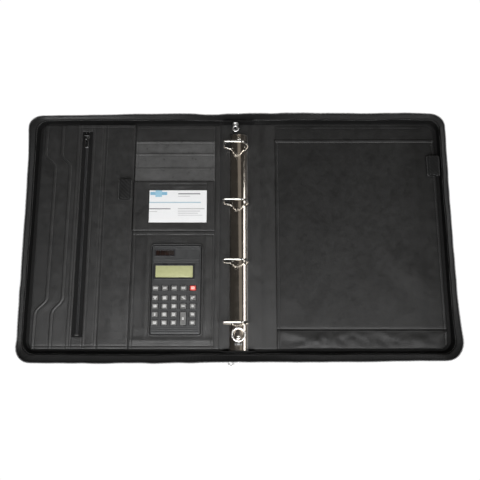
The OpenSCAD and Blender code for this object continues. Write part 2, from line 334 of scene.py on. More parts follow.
def bmesh_template(size, bevel, seg=1):
    bm = bmesh.new()
    bmesh.ops.create_cube(bm, size=1)
    for v in bm.verts:
        v.co.x *= size[0]
        v.co.y *= size[1]
        v.co.z *= size[2]
    if bevel:
        bmesh.ops.bevel(bm, geom=bm.edges[:], offset=bevel, segments=seg, profile=0.6, affect="EDGES")
    bm.verts.ensure_lookup_table()
    v = np.array([list(q.co) for q in bm.verts])
    f = {}
    for face in bm.faces:
        f.setdefault(len(face.verts), []).append([q.index for q in face.verts])
    bm.free()
    return v, [np.array(x) for x in f.values()]


def place(tv, tf, P, T, N):
    """copies of a template at points P, its x along T and its z along N"""
    P, T, N = (np.asarray(q, float).reshape(-1, 3) for q in (P, T, N))
    T = T / np.linalg.norm(T, axis=1)[:, None]
    N = N - T * (N * T).sum(1)[:, None]
    N = N / np.linalg.norm(N, axis=1)[:, None]
    B = np.cross(N, T)
    V = (P[:, None] + T[:, None] * tv[None, :, 0:1] + B[:, None] * tv[None, :, 1:2] + N[:, None] * tv[None, :, 2:3])
    m, k = len(P), len(tv)
    off = (np.arange(m) * k)[:, None, None]
    return V.reshape(-1, 3), [(np.asarray(g)[None] + off).reshape(-1, np.asarray(g).shape[1]) for g in tf]


def _stitch_template(length, r):
    rings = []
    for x, k in ((-0.5, 0.25), (-0.42, 0.75), (-0.2, 1.0), (0.2, 1.0), (0.42, 0.75), (0.5, 0.25)):
        a = np.arange(6) * math.pi / 3
        rings.append(np.column_stack([np.full(6, x * length), r * k * np.cos(a), r * k * np.sin(a) * 0.8 - 1.1 * r * (2 * x) ** 4]))
    return loft(rings)


def stitches(M, path, normal=(0, 0, 1), pitch=3.0, r=0.3, gap=0.8, mat=0):
    """a row of separate thread stitches along a 3-D polyline"""
    p, s = resample(path, pitch)
    mid = (p[1:] + p[:-1]) / 2
    t = p[1:] - p[:-1]
    tv, tf = _stitch_template(np.linalg.norm(t[0]) - gap, r)
    n = np.asarray(normal, float)
    if n.ndim == 1:
        n = np.broadcast_to(n, mid.shape)
    else:
        src, _ = resample(np.column_stack([path, n]), pitch)
        n = (src[1:, 3:] + src[:-1, 3:]) / 2
    v, f = place(tv, tf, mid, t, n)
    M.add(v, f, mat)


# ---------------------------------------------------------------- materials
def new_mat(name):
    m = bpy.data.materials.new(name)
    m.use_nodes = True
    nt = m.node_tree
    nt.nodes.clear()
    out = nt.nodes.new("ShaderNodeOutputMaterial")
    b = nt.nodes.new("ShaderNodeBsdfPrincipled")
    nt.links.new(b.outputs[0], out.inputs[0])
    return m, nt, b, out


def coords(nt, scale=(1, 1, 1), rot=(0, 0, 0)):
    c = nt.nodes.new("ShaderNodeTexCoord")
    mp = nt.nodes.new("ShaderNodeMapping")
    mp.inputs["Scale"].default_value = scale
    mp.inputs["Rotation"].default_value = rot
    nt.links.new(c.outputs["Object"], mp.inputs["Vector"])
    return mp.outputs[0]


def tex_noise(nt, vec, scale, detail=3, rough=0.5, dist=0.0):
    n = nt.nodes.new("ShaderNodeTexNoise")
    n.inputs["Scale"].default_value = scale
    n.inputs["Detail"].default_value = detail
    n.inputs["Roughness"].default_value = rough
    n.inputs["Distortion"].default_value = dist
    nt.links.new(vec, n.inputs["Vector"])
    return n.outputs["Fac"]


def tex_vor(nt, vec, scale, feature="F1", rnd=1.0):
    n = nt.nodes.new("ShaderNodeTexVoronoi")
    n.feature = feature
    n.inputs["Scale"].default_value = scale
    n.inputs["Randomness"].default_value = rnd
    nt.links.new(vec, n.inputs["Vector"])
    return n.outputs["Distance"]


def remap(nt, val, a, b, c, d):
    n = nt.nodes.new("ShaderNodeMapRange")
    n.inputs["From Min"].default_value = a
    n.inputs["From Max"].default_value = b
    n.inputs["To Min"].default_value = c
    n.inputs["To Max"].default_value = d
    nt.links.new(val, n.inputs["Value"])
    return n.outputs[0]


def math_node(nt, op, a, b=None):
    n = nt.nodes.new("ShaderNodeMath")
    n.operation = op
    for i, q in enumerate((a, b)):
        if q is None:
            continue
        if isinstance(q, (int, float)):
            n.inputs[i].default_value = q
        else:
            nt.links.new(q, n.inputs[i])
    return n.outputs[0]


def ramp_color(nt, fac, c0, c1, p0=0.0, p1=1.0):
    n = nt.nodes.new("ShaderNodeValToRGB")
    n.color_ramp.elements[0].position = p0
    n.color_ramp.elements[1].position = p1
    n.color_ramp.elements[0].color = (*c0, 1)
    n.color_ramp.elements[1].color = (*c1, 1)
    nt.links.new(fac, n.inputs[0])
    return n.outputs[0]


def bump(nt, height, strength, dist, prev=None):
    n = nt.nodes.new("ShaderNodeBump")
    n.inputs["Strength"].default_value = strength
    n.inputs["Distance"].default_value = dist
    nt.links.new(height, n.inputs["Height"])
    if prev is not None:
        nt.links.new(prev, n.inputs["Normal"])
    return n.outputs[0]


def edge_wear(nt):
    g = nt.nodes.new("ShaderNodeNewGeometry")
    return remap(nt, g.outputs["Pointiness"], 0.52, 0.62, 0.0, 1.0)


def leather(name, base, rough=0.42, grain=0.9, grain_h=0.00010, spec=0.5, wear=0.25, tint=(1, 1, 1)):
    """fine-grained coated leather: pebble cells of about grain mm with painted shade in their valleys, soft mottling,
    paler worn ridges
    """
    m, nt, b, out = new_mat(name)
    v = coords(nt)
    cells = tex_vor(nt, v, 1000 / grain, "DISTANCE_TO_EDGE")
    cell = remap(nt, cells, 0.0, 0.25, 0.0, 1.0)
    fine = tex_noise(nt, v, 2600, 3, 0.6)
    big = tex_noise(nt, v, 22, 4, 0.6, 0.4)
    mid = tex_noise(nt, v, 120, 3, 0.6)
    mott = math_node(nt, "ADD", math_node(nt, "MULTIPLY", big, 0.6), math_node(nt, "MULTIPLY", mid, 0.4))
    lo = tuple(base * 0.72 * t for t in tint)
    hi = tuple(base * 1.32 * t for t in tint)
    col = ramp_color(nt, mott, lo, hi, 0.3, 0.7)
    mix = nt.nodes.new("ShaderNodeMixRGB")
    nt.links.new(math_node(nt, "MULTIPLY", edge_wear(nt), wear), mix.inputs[0])
    nt.links.new(col, mix.inputs[1])
    mix.inputs[2].default_value = (base * 4.5, base * 4.4, base * 4.3, 1)
    # cell edges multiply the colour darker: painted shade in the grain's valleys
    grain_valley_shade = nt.nodes.new("ShaderNodeMixRGB")
    grain_valley_shade.blend_type = "MULTIPLY"
    grain_valley_shade.inputs[0].default_value = 0.45
    nt.links.new(mix.outputs[0], grain_valley_shade.inputs[1])
    nt.links.new(ramp_color(nt, cells, (0.35, 0.35, 0.35), (1, 1, 1), 0.0, 0.12), grain_valley_shade.inputs[2])
    nt.links.new(grain_valley_shade.outputs[0], b.inputs["Base Color"])
    nt.links.new(remap(nt, mid, 0.3, 0.7, rough - 0.06, rough + 0.08), b.inputs["Roughness"])
    b.inputs["Specular IOR Level"].default_value = spec
    n1 = bump(nt, cell, 0.55, grain_h)
    n2 = bump(nt, fine, 0.25, grain_h * 0.5, n1)
    n3 = bump(nt, mid, 0.2, 0.0006, n2)
    nt.links.new(n3, b.inputs["Normal"])
    return m


def metal(name, color, rough, streak=0.0, aniso_axis=1, dark=0.0):
    """plated or brushed metal with fine streaks and smudges"""
    m, nt, b, out = new_mat(name)
    b.inputs["Metallic"].default_value = 1.0
    sc = [1, 1, 1]
    sc[aniso_axis] = 0.02
    v = coords(nt, tuple(sc))
    lines_ = tex_noise(nt, v, 2600, 2, 0.5)
    smudge = tex_noise(nt, coords(nt), 90, 4, 0.6)
    mixed = math_node(nt, "ADD", math_node(nt, "MULTIPLY", lines_, 0.4), math_node(nt, "MULTIPLY", smudge, 0.6))
    lo = tuple(c * (0.86 - dark) for c in color)
    nt.links.new(ramp_color(nt, mixed, lo, color, 0.35, 0.65), b.inputs["Base Color"])
    nt.links.new(remap(nt, mixed, 0.3, 0.7, rough * 0.75, rough * 1.5), b.inputs["Roughness"])
    nt.links.new(bump(nt, lines_, streak, 0.00003), b.inputs["Normal"])
    return m


def plastic(name, color, rough=0.4, tex=0.15, spread=0.12, scale=1600):
    """moulded plastic with a light spark texture"""
    m, nt, b, out = new_mat(name)
    v = coords(nt)
    n1 = tex_noise(nt, v, scale, 2, 0.6)
    n2 = tex_noise(nt, v, 140, 3, 0.6)
    lo = tuple(c * (1 - spread) for c in color)
    hi = tuple(min(1, c * (1 + spread)) for c in color)
    nt.links.new(ramp_color(nt, n2, lo, hi, 0.3, 0.7), b.inputs["Base Color"])
    nt.links.new(remap(nt, n2, 0.3, 0.7, rough - 0.05, rough + 0.08), b.inputs["Roughness"])
    nt.links.new(bump(nt, n1, tex, 0.00006), b.inputs["Normal"])
    return m


def woven(name, base, pitch=0.9, rough=0.8):
    """narrow woven tape: fine crosswise ribs and a herringbone of warp threads"""
    m, nt, b, out = new_mat(name)
    v = coords(nt)
    w1 = nt.nodes.new("ShaderNodeTexWave")
    w1.bands_direction = "Z"
    w1.inputs["Scale"].default_value = 1000 / pitch / 6.283 * 1.6
    w1.inputs["Distortion"].default_value = 0.6
    nt.links.new(v, w1.inputs["Vector"])
    w2 = nt.nodes.new("ShaderNodeTexWave")
    w2.bands_direction = "DIAGONAL"
    w2.inputs["Scale"].default_value = 1000 / pitch / 6.283
    w2.inputs["Distortion"].default_value = 0.4
    nt.links.new(v, w2.inputs["Vector"])
    s = math_node(nt, "MULTIPLY", w1.outputs["Fac"], w2.outputs["Fac"])
    n2 = tex_noise(nt, v, 160, 3, 0.6)
    mixed = math_node(nt, "ADD", math_node(nt, "MULTIPLY", s, 0.5), math_node(nt, "MULTIPLY", n2, 0.5))
    nt.links.new(ramp_color(nt, mixed, (base * 0.55,) * 3, (base * 1.6,) * 3, 0.25, 0.75), b.inputs["Base Color"])
    b.inputs["Roughness"].default_value = rough
    b.inputs["Sheen Weight"].default_value = 0.25
    b.inputs["Sheen Roughness"].default_value = 0.4
    nt.links.new(bump(nt, s, 0.6, 0.0002), b.inputs["Normal"])
    b.inputs["Specular IOR Level"].default_value = 0.18
    return m


def thread(name, base):
    m, nt, b, out = new_mat(name)
    w = nt.nodes.new("ShaderNodeTexWave")
    w.bands_direction = "DIAGONAL"
    w.inputs["Scale"].default_value = 900
    w.inputs["Distortion"].default_value = 1.0
    nt.links.new(coords(nt), w.inputs["Vector"])
    nt.links.new(ramp_color(nt, w.outputs["Fac"], (base * 0.6,) * 3, (base * 1.3,) * 3), b.inputs["Base Color"])
    b.inputs["Roughness"].default_value = 0.6
    b.inputs["Sheen Weight"].default_value = 0.3
    nt.links.new(bump(nt, w.outputs["Fac"], 0.5, 0.0001), b.inputs["Normal"])
    return m


MAT = {
    "cover": leather("cover_leather", 0.021, 0.44, 1.1, 0.00013),
    "panel": leather("panel_leather", 0.023, 0.35, 0.8, 0.00008),
    # slot leather is the panel leather made about three times paler: painted sheen of the bulging slot strips
    "slot": leather("slot_leather_painted_sheen", 0.070, 0.32, 0.8, 0.00008),
    "pad": leather("pad_leather", 0.0130, 0.42, 0.8, 0.00008, 0.33),
    "lining": leather("lining_leather", 0.0165, 0.44, 0.7, 0.00007),
    "gusset": leather("gusset_leather", 0.0045, 0.55, 0.9, 0.00009, 0.20),
    # near-black leather for the gutter sheet: painted shadow at the walls' feet
    "gap": leather("gutter_painted_shadow_leather", 0.004, 0.7, 0.8, 0.00006, 0.2),
    "tape": woven("zip_tape", 0.0045),
    "elastic": woven("elastic", 0.011, 1.3, 0.85),
    "nickel": metal("nickel_plate", (0.60, 0.55, 0.49), 0.13, 0.12, 1),
    "wire": metal("nickel_wire", (0.80, 0.78, 0.74), 0.12, 0.05, 0),
    "zipmetal": metal("zip_metal", (0.78, 0.78, 0.78), 0.28, 0.1, 0),
    # dark slider metal, also laid on nickel mechanism parts as painted shade
    "slider": metal("slider_and_shaded_nickel_metal", (0.26, 0.26, 0.26), 0.38, 0.1, 0),
    "loop": metal("trigger_nickel", (0.90, 0.88, 0.85), 0.24, 0.05, 0),
    "darkmetal": metal("dark_zip_metal", (0.10, 0.10, 0.10), 0.33, 0.1, 0),
    "teeth": plastic("zip_teeth", (0.016, 0.016, 0.017), 0.34, 0.1),
    "board": plastic("stiffener_board", (0.30, 0.25, 0.18), 0.85, 0.5),
    "thread": thread("thread_dark", 0.030),
    "thread_light": thread("thread_grey", 0.10),
    "calc": plastic("calculator_plastic", (0.030, 0.031, 0.032), 0.42, 0.3),
    "calc_trim": plastic("calculator_trim", (0.018, 0.018, 0.020), 0.3, 0.1),
    "key": plastic("grey_key", (0.130, 0.130, 0.127), 0.42, 0.15),
    "red": plastic("red_key", (0.52, 0.05, 0.04), 0.4, 0.15),
    "mark": plastic("key_mark", (0.44, 0.44, 0.43), 0.5, 0.05, 0.04),
    "redmark": plastic("red_key_mark", (0.95, 0.45, 0.40), 0.5, 0.05, 0.04),
}


def blend_side(o):
    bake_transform(o)
    return o


def mirror_x(v, side):
    v = np.array(v, float)
    if side == "left":
        v[..., 0] *= -1
    return v


def flipped(f, side):
    if side != "left":
        return f
    return [g[:, ::-1] for g in f] if isinstance(f, list) else f[:, ::-1]


# ---------------------------------------------------------------- covers: outer skin, board, lining
def hinge_groove(ax):
    """depth of the soft fold at the hinge, 0..1, from |x|"""
    return bell(ax, 29.5, 3.2)


def build_cover(side):
    seed = 3 if side == "left" else 8
    xs = lines(0.0, CX, 4.0, 2.2, [(29.5, 6.0), (50.0, 1.5)])
    ys = lines(LY, HY, 4.0, 2.2)
    X, Y = np.meshgrid(xs, ys)
    dx, dy = CX - X, np.minimum(Y - LY, HY - Y)
    d = np.minimum(dx, dy)
    Xc, Yc = corner_map(X, Y, (0, LY, CX, HY), 14.0, [(1, 1), (1, -1)])
    # outer skin: a tray whose rim turns up round the board
    rim = 1 - sstep(d, 1.5, 2.1)
    zt = 1.15 + rim * 2.45
    zt = zt - 0.9 * (1 - rounded(d, 1.0)) * 1.0
    wave = fbm(Xc / 42, Yc / 55, seed, 3)
    zb = 0.28 + 0.22 * wave * sstep(d, 0, 12) + 1.4 * (1 - rounded(d, 1.8)) - 0.12
    zb = zb + 0.75 * hinge_groove(X) - 0.20 * bell(X, 29.5, 9)
    zb = np.clip(zb, 0.02, None)
    zt = np.maximum(zt, zb + 0.5) + 0.35 * hinge_groove(X) * (d > 2.2)
    # sewing line pressed in round the outside, 4 mm from the edge
    zb = zb + 0.25 * bell(d, 4.2, 0.7) * (X > 3)
    v, f = slab(Xc, Yc, zt, zb)
    M = Mesh().add(mirror_x(v, side), flipped(f, side))
    o = M.obj(side + "_cover_skin", MAT["cover"], 50)
    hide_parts(side + "_cover", "spine_cover")
    blend_side(o)
    # thread of the sewing line on the outside
    M = Mesh()
    p = rrect(-60, LY + 4.2, CX - 4.2, HY - 4.2, 10.5, 10)
    p = np.vstack([p, p[:1]])
    keep = []
    for q in resample(p, 1.0)[0]:
        keep.append(q)
    keep = np.array(keep)
    keep = keep[keep[:, 0] > 2.0]
    jump = np.argmax(np.linalg.norm(np.diff(keep, axis=0), axis=1))
    keep = np.vstack([keep[jump + 1:], keep[:jump + 1]])
    path = np.column_stack([keep, np.full(len(keep), 0.26)])
    stitches(M, mirror_x(path, side), (0, 0, -1), 3.2, 0.28, 0.9)
    o = M.obj(side + "_cover_stitching", MAT["thread"])
    blend_side(o)
    # stiffener
    v, f = rr_prism(48.5, LY + 5.2, CX - 7.2, HY - 4.2, 11, 1.25, 2.95, 0.3, 0.3, 2)
    o = Mesh().add(mirror_x(v, side), flipped(f, side)).obj(side + "_board_v", MAT["board"], 40)
    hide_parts(side + "_board")
    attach(o, side + "_side")
    # lining
    edge = 273.2 if side == "left" else 272.2
    lo_y, hi_y = LY + 4.0, HY - 3.0
    xs = lines(0.0, edge, 3.2, 1.6, [(29.5, 6.5), (14, 3)])
    ys = lines(lo_y, hi_y, 3.2, 1.6)
    X, Y = np.meshgrid(xs, ys)
    d = np.minimum(edge - X, np.minimum(Y - lo_y, hi_y - Y))
    Xc, Yc = corner_map(X, Y, (0, lo_y, edge, hi_y), 11.0, [(1, 1), (1, -1)])
    wave = fbm(Xc / 30, Yc / 46, seed + 5, 3)
    zt = 3.05 + 0.55 * rounded(d, 1.4) + 0.18 * wave * sstep(d, 0, 10)
    if side == "left":
        zt = zt - 0.9 * hinge_groove(X) + 0.5 * bell(X, 19, 5)
    else:
        zt = zt - 0.35 * hinge_groove(X) + 0.9 * bell(X, 40, 9) + 0.5 * bell(X, 19, 4)
    zb = np.full_like(zt, 1.9) + 1.1 * sstep(X, 47.0, 48.2)
    zb = np.minimum(zb, zt - 0.3)
    v, f = slab(Xc, Yc, zt, zb)
    o = Mesh().add(mirror_x(v, side), flipped(f, side)).obj(side + "_lining_v", MAT["lining"], 50)
    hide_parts(side + "_lining")
    blend_side(o)
    # near-black sheet that fills the gutter between the lining and the wall: painted shadow at the wall's foot
    p = wall_path(side, 4.0)
    rings = []
    for off, z in ((-0.4, 2.6), (-0.4, 3.7), (-1.8, 3.5), (-4.2, 3.1), (-4.8, 2.7), (-4.8, 2.3)):
        rings.append(np.column_stack([p["b"][:, 0] + p["n"][:, 0] * off, p["b"][:, 1] + p["n"][:, 1] * off, np.full(len(p["b"]), z)]))
    prof = np.stack(rings, 1)
    m, k = prof.shape[:2]
    f = [grid_faces(m, k, 0, flip=False)]
    a = np.arange(m - 1) * k
    f.append(np.stack([a + k - 1, a + 2 * k - 1, a + k, a], -1))
    f.append(np.arange(k)[None, ::-1])
    f.append((np.arange(k) + (m - 1) * k)[None, :])
    o = Mesh().add(mirror_x(prof.reshape(-1, 3), side), flipped(f, side)).obj(side + "_gutter_painted_shadow", MAT["gap"], 50)
    blend_side(o)


# ---------------------------------------------------------------- zip walls
def wall_path(side, step):
    """base line of the wall on the pad side (mirrored later): points b, outward normals n, lean L and height H of its top"""
    R, e = 15.0, 0.9
    x1, y0, y1 = CX - e, LY + e, HY - e
    b, n, tag = [], [], []
    xs = np.concatenate([np.arange(0, 60, min(step, 2.0)), np.linspace(60, x1 - R, int((x1 - R - 60) / step) + 1)])
    for x in xs:
        b.append((x, y0)); n.append((0, -1)); tag.append(("bottom", x))
    for i in range(1, 15):
        a = -math.pi / 2 + math.pi / 2 * i / 15
        b.append((x1 - R + R * math.cos(a), y0 + R + R * math.sin(a))); n.append((math.cos(a), math.sin(a))); tag.append(("c0", i / 15))
    for y in np.linspace(y0 + R, y1 - R, int((y1 - y0 - 2 * R) / step) + 1):
        b.append((x1, y)); n.append((1, 0)); tag.append(("side", y))
    for i in range(1, 15):
        a = math.pi / 2 * i / 15
        b.append((x1 - R + R * math.cos(a), y1 - R + R * math.sin(a))); n.append((math.cos(a), math.sin(a))); tag.append(("c1", i / 15))
    for x in xs[::-1]:
        b.append((x, y1)); n.append((0, 1)); tag.append(("top", x))
    if side == "right":
        bot = ([0, 20, 60, 120, 200, 262], [12.0, 12.2, 12.2, 12.0, 11.2, 10.6])
        sid = ([-142, -120, -95, -50, 40, 100, 128, 145], [5.2, 3.6, 1.8, 1.6, 1.2, 1.2, 1.7, 2.2])
        top = ([0, 15, 30, 60, 110, 200, 240, 262], [8.0, 8.4, 7.4, 4.4, 2.4, 2.9, 2.8, 1.6])
    else:
        bot = ([0, 20, 60, 120, 200, 262], [12.0, 12.6, 13.2, 13.6, 14.0, 13.4])
        sid = ([-142, -120, -95, -50, 40, 100, 128, 145], [0.9, 1.2, 1.6, 1.9, 2.6, 3.6, 5.6, 6.2])
        top = ([0, 15, 30, 60, 110, 180, 230, 262], [8.0, 7.0, 5.0, 3.4, 1.8, 0.2, -0.8, -1.4])
    L, H, S = [], [], 0.0
    prev = b[0]
    for (q, (kind, t)) in zip(b, tag):
        S += math.hypot(q[0] - prev[0], q[1] - prev[1])
        prev = q
        if kind == "bottom":
            l = np.interp(t, *bot)
        elif kind == "side":
            l = np.interp(t, *sid)
        elif kind == "top":
            l = np.interp(t, *top)
        elif kind == "c0":
            w = t * t * (3 - 2 * t)
            l = bot[1][-1] * (1 - w) + sid[1][0] * w
        else:
            w = t * t * (3 - 2 * t)
            l = sid[1][-1] * (1 - w) + top[1][-1] * w
        h = 28.2
        if kind in ("bottom", "top"):
            h = np.interp(t, [0, 14, 30, 48, 66, 90], [15.0, 15.4, 16.6, 20.0, 25.0, 28.2])
        L.append(l)
        H.append(h)
    L, H = np.array(L), np.array(H)
    ker = np.array([1, 2, 3, 4, 3, 2, 1.0])
    ker /= ker.sum()
    L = np.convolve(np.pad(L, 3, mode="edge"), ker, "valid")
    H = np.convolve(np.pad(H, 3, mode="edge"), ker, "valid")
    b = np.array(b, float)
    s = np.concatenate([[0], np.cumsum(np.linalg.norm(np.diff(b, axis=0), axis=1))])
    seed = 31 if side == "left" else 47
    L = L + 0.35 * noise(s / 34, 0.5, seed)
    H = H + 0.35 * noise(s / 47, 0.5, seed + 2)
    return {"b": b, "n": np.array(n, float), "L": L, "H": H, "s": s, "tag": tag}


def wall_point(p, i, t, off=0.0, dz=0.0):
    """point on path index i (array ok): t 0 at the base .. 1 at the top of the tape, off outward"""
    z0 = 3.0
    z = z0 + (p["H"][i] - z0) * t + dz
    belly = 1.1 * np.sin(math.pi * np.clip(t, 0, 1)) * p["puff"][i]
    o = p["L"][i] * (0.25 * t + 0.75 * t * t) + off + belly
    return np.column_stack([p["b"][i, 0] + p["n"][i, 0] * o, p["b"][i, 1] + p["n"][i, 1] * o, z])


def sweep_profile(p, prof):
    """prof: list of (t, off, dz) forming an anticlockwise loop when looking along the path"""
    m = len(p["s"])
    idx = np.arange(m)
    rings = [wall_point(p, idx, np.full(m, t) + (0), off, dz) for t, off, dz in prof]
    V = np.stack(rings, 1)
    k = len(prof)
    f = []
    a = np.arange(m - 1)[:, None] * k
    j = np.arange(k)[None, :]
    j2 = (j + 1) % k
    q = np.stack([a + j, a + k + j, a + k + j2, a + j2], -1).reshape(-1, 4)
    f.append(q)
    f.append(np.arange(k)[None, :])
    f.append((np.arange(k) + (m - 1) * k)[None, ::-1])
    return V, f


def build_wall(side):
    p = wall_path(side, 3.0)
    m = len(p["s"])
    seed = 71 if side == "left" else 91
    p["puff"] = 0.6 + 0.5 * noise(p["s"] / 40, 0.3, seed)
    idx = np.arange(m)
    # leather strip from the cover's edge up to the folded top hem
    prof = [(0.0, -0.9, -0.4), (0.12, -0.75, 0), (0.25, -0.6, 0), (0.38, -0.75, 0), (0.47, -1.05, 0), (0.50, -1.3, 0.1),
            (0.525, -1.1, 0.3), (0.53, -0.55, 0.5), (0.525, 0.2, 0.45), (0.515, 0.75, 0.1), (0.49, 0.95, 0), (0.44, 0.7, 0), (0.30, 0.75, 0),
            (0.15, 0.85, 0), (0.04, 0.9, 0), (0.0, 0.6, -0.9), (0.0, -0.3, -1.1)]
    V, f = sweep_profile(p, prof)
    wr = noise(p["s"][:, None] / 7.0, np.arange(len(prof))[None, :] * 0.35, seed + 4) * 0.22
    wr = wr + noise(p["s"][:, None] / 19.0, np.arange(len(prof))[None, :] * 0.2, seed + 6) * 0.45
    fade = np.array([0.0, .5, 1, 1, .6, .2, .1, .1, .1, .2, .4, 1, 1, .6, .2, 0, 0])[None, :]
    V[..., 0] += p["n"][:, None, 0] * wr * fade
    V[..., 1] += p["n"][:, None, 1] * wr * fade
    o = Mesh().add(mirror_x(V.reshape(-1, 3), side), flipped(f, side)).obj(side + "_wall_leather", MAT["gusset"], 55)
    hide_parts(side + "_gusset")
    blend_side(o)
    # zip tape above it
    prof = [(0.46, -0.35, 0), (0.60, -0.42, 0), (0.74, -0.4, 0), (0.88, -0.4, 0), (0.985, -0.4, 0), (1.0, -0.3, 0.15),
            (1.0, 0.3, 0.15), (0.985, 0.4, 0), (0.88, 0.4, 0), (0.74, 0.4, 0), (0.60, 0.36, 0), (0.46, 0.3, 0)]
    V, f = sweep_profile(p, prof)
    wr = noise(p["s"][:, None] / 15.0, np.arange(len(prof))[None, :] * 0.0 + 3.3, seed + 9) * 0.35
    V[..., 0] += p["n"][:, None, 0] * wr
    V[..., 1] += p["n"][:, None, 1] * wr
    o = Mesh().add(mirror_x(V.reshape(-1, 3), side), flipped(f, side)).obj(side + "_zip_tape_v", MAT["tape"], 55)
    blend_side(o)
    # cord along the tape's edge that the teeth grip, then the teeth themselves
    M = Mesh()
    cord = wall_point(p, idx, np.full(m, 1.0), 0.0, 0.35)
    cord[:, :2] += p["n"] * (noise(p["s"] / 15.0, 3.3, seed + 9) * 0.35)[:, None]
    cv, cf = tube(cord, 0.75, 8)
    M.add(mirror_x(cv, side), flipped(cf, side), 1)
    full, s = resample(np.column_stack([cord, p["n"], p["L"], p["H"]]), 1.7)
    T = np.gradient(full[:, :3], axis=0)
    nrm = np.column_stack([full[:, 3:5] * 0.45, np.full(len(full), 1.0)])
    tv, tf = bmesh_template((1.05, 2.3, 1.5), 0.28)
    head = tv.copy()
    head[:, 2] += 0.75
    head[:, 1] -= 0.15
    pos = full[:, :3].copy()
    v, f = place(head, tf, pos[1:-1], T[1:-1], nrm[1:-1])
    M.add(mirror_x(v, side), flipped(f, side), 0)
    o = M.obj(side + "_zip_teeth_v", [MAT["teeth"], MAT["tape"]], 40)
    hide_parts(side + "_zip_chain")
    blend_side(o)
    # stitching just under the folded hem, inside and outside
    M = Mesh()
    for off, t, sgn in ((-1.15, 0.455, -1), (0.98, 0.455, 1)):
        path = wall_point(p, idx, np.full(m, t), off, 0)
        nn = np.column_stack([p["n"] * sgn, np.zeros(m)])
        stitches(M, np.array(mirror_x(path, side)), mirror_x(nn, side), 3.0, 0.27, 0.75)
    o = M.obj(side + "_wall_stitching", MAT["thread_light"])
    blend_side(o)


for side in ("left", "right"):
    build_cover(side)
    build_wall(side)

# spine board and closing webs
v, f = rr_prism(-10.5, LY + 2.6, 10.5, HY - 2.6, 1.0, 1.25, 3.3, 0.3, 0.3, 2)
o = Mesh().add(v, f).obj("spine_board_v", MAT["board"], 40)
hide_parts("spine_board")
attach(o, "spine")


# ---------------------------------------------------------------- spine
def ride(o, body, slot, *nodes):
    if nodes:
        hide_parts(*nodes)
    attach(o, body)
    return o


def web(y, outward, name_seed):
    """soft folded web that closes one end of the spine, with its turned top hem"""
    xs = np.linspace(-21.5, 21.5, 44)
    zs = np.array([3.4, 4.5, 6, 8, 10, 12, 13.6, 14.8, 15.4, 15.7])
    X, Z = np.meshgrid(xs, zs)
    sag = 0.9 * np.cos(X / 21.5 * math.pi / 2) * np.sin((Z - 3.4) / 12.3 * math.pi) + 0.35 * noise(X / 6.0, Z / 9.0, name_seed)
    top = 1 - sstep(np.abs(X), 17, 21.5) * 0.0
    Zt = Z - (1 - top) + 0.25 * noise(X / 9.0, 0.2, name_seed + 3) * sstep(Z, 8, 15)
    a = np.stack([X, y + outward * sag * 0.6 + 0.45, Zt], -1)
    b = np.stack([X, y + outward * sag * 0.6 - 0.45, Zt], -1)
    n = X.size
    ny, nx = X.shape
    idx = np.arange(n).reshape(ny, nx)
    ring = np.concatenate([idx[0, :-1], idx[:-1, -1], idx[-1, :0:-1], idx[:0:-1, 0]])
    nxt = np.roll(ring, -1)
    side = np.stack([ring + n, nxt + n, nxt, ring], -1)
    return np.concatenate([a.reshape(-1, 3), b.reshape(-1, 3)]), [grid_faces(ny, nx), grid_faces(ny, nx, n, flip=True), side]


M = Mesh()
for y, out, sd in ((HY - 2.7, 1, 5), (LY + 0.6, -1, 12)):
    v, f = web(y, out, sd)
    M.add(v, f)
    rim = np.array([[x, y + out * 0.0, 15.75 + 0.25 * float(noise(x / 9.0, 0.2, sd + 3))] for x in np.linspace(-21.3, 21.3, 60)])
    v, f = tube(rim, 0.62, 8)
    M.add(v, f)
ride(M.obj("spine_end_webs", MAT["gusset"], 60), "spine", "gusset_leather", "spine_end_gussets")

# domed mechanism plate with ring slots, rolled edges
PW, PR, PC = 12.2, 14.58, -4.38


def plate_z(x):
    return PC + math.sqrt(max(0, PR * PR - x * x))


a_max = math.asin(PW / PR)
slot_edges = [7.5, 13.3]
angs = sorted(set([a_max * t for t in np.linspace(-1, 1, 45)] + [s * math.asin(min(0.9999, 7.5 / PR)) for s in (-1, 1)]))
ys = sorted(set(np.round(np.concatenate([np.linspace(-155, 141, 60), [i * 80 + s * 2.1 for i in (-1.5, -.5, .5, 1.5) for s in (-1, 1)],
     [i * 80 + s * 2.6 for i in (-1.5, -.5, .5, 1.5) for s in (-1, 1)], [-154.6, -154, 140.6, 140]]), 4)))
verts, keep = [], []
for y in ys:
    for a in angs:
        r = PR
        verts.append((r * math.sin(a), y, PC + r * math.cos(a)))
na = len(angs)
faces = []
for j in range(len(ys) - 1):
    ym = (ys[j] + ys[j + 1]) / 2
    for i in range(na - 1):
        xm = PR * math.sin((angs[i] + angs[i + 1]) / 2)
        hole = any(abs(ym - k * 80) < 2.1 for k in (-1.5, -.5, .5, 1.5)) and abs(xm) > 7.5 and abs(xm) < 12.0
        if not hole:
            faces.append((j * na + i, j * na + i + 1, (j + 1) * na + i + 1, (j + 1) * na + i))
me = bpy.data.meshes.new("mechanism_plate_v")
me.from_pydata([(x * .001, y * .001, z * .001) for x, y, z in verts], [], faces)
me.materials.append(MAT["nickel"])
bm = bmesh.new()
bm.from_mesh(me)
bmesh.ops.recalc_face_normals(bm, faces=bm.faces[:])
loose = [q for q in bm.verts if not q.link_faces]
bmesh.ops.delete(bm, geom=loose, context="VERTS")
up = sum(q.normal.z for q in bm.faces)
if up < 0:
    bmesh.ops.reverse_faces(bm, faces=bm.faces[:])
bm.to_mesh(me)
bm.free()
me.polygons.foreach_set("use_smooth", np.ones(len(me.polygons), bool))
o = bpy.data.objects.new("mechanism_plate_v", me)
bpy.context.scene.collection.objects.link(o)
mod = o.modifiers.new("t", "SOLIDIFY")
mod.thickness, mod.offset = 0.0009, -1
mod = o.modifiers.new("b", "BEVEL")
mod.width, mod.segments, mod.limit_method, mod.angle_limit = 0.00022, 2, "ANGLE", math.radians(50)
ride(o, "spine", "nickel_plate", "mechanism_plate")
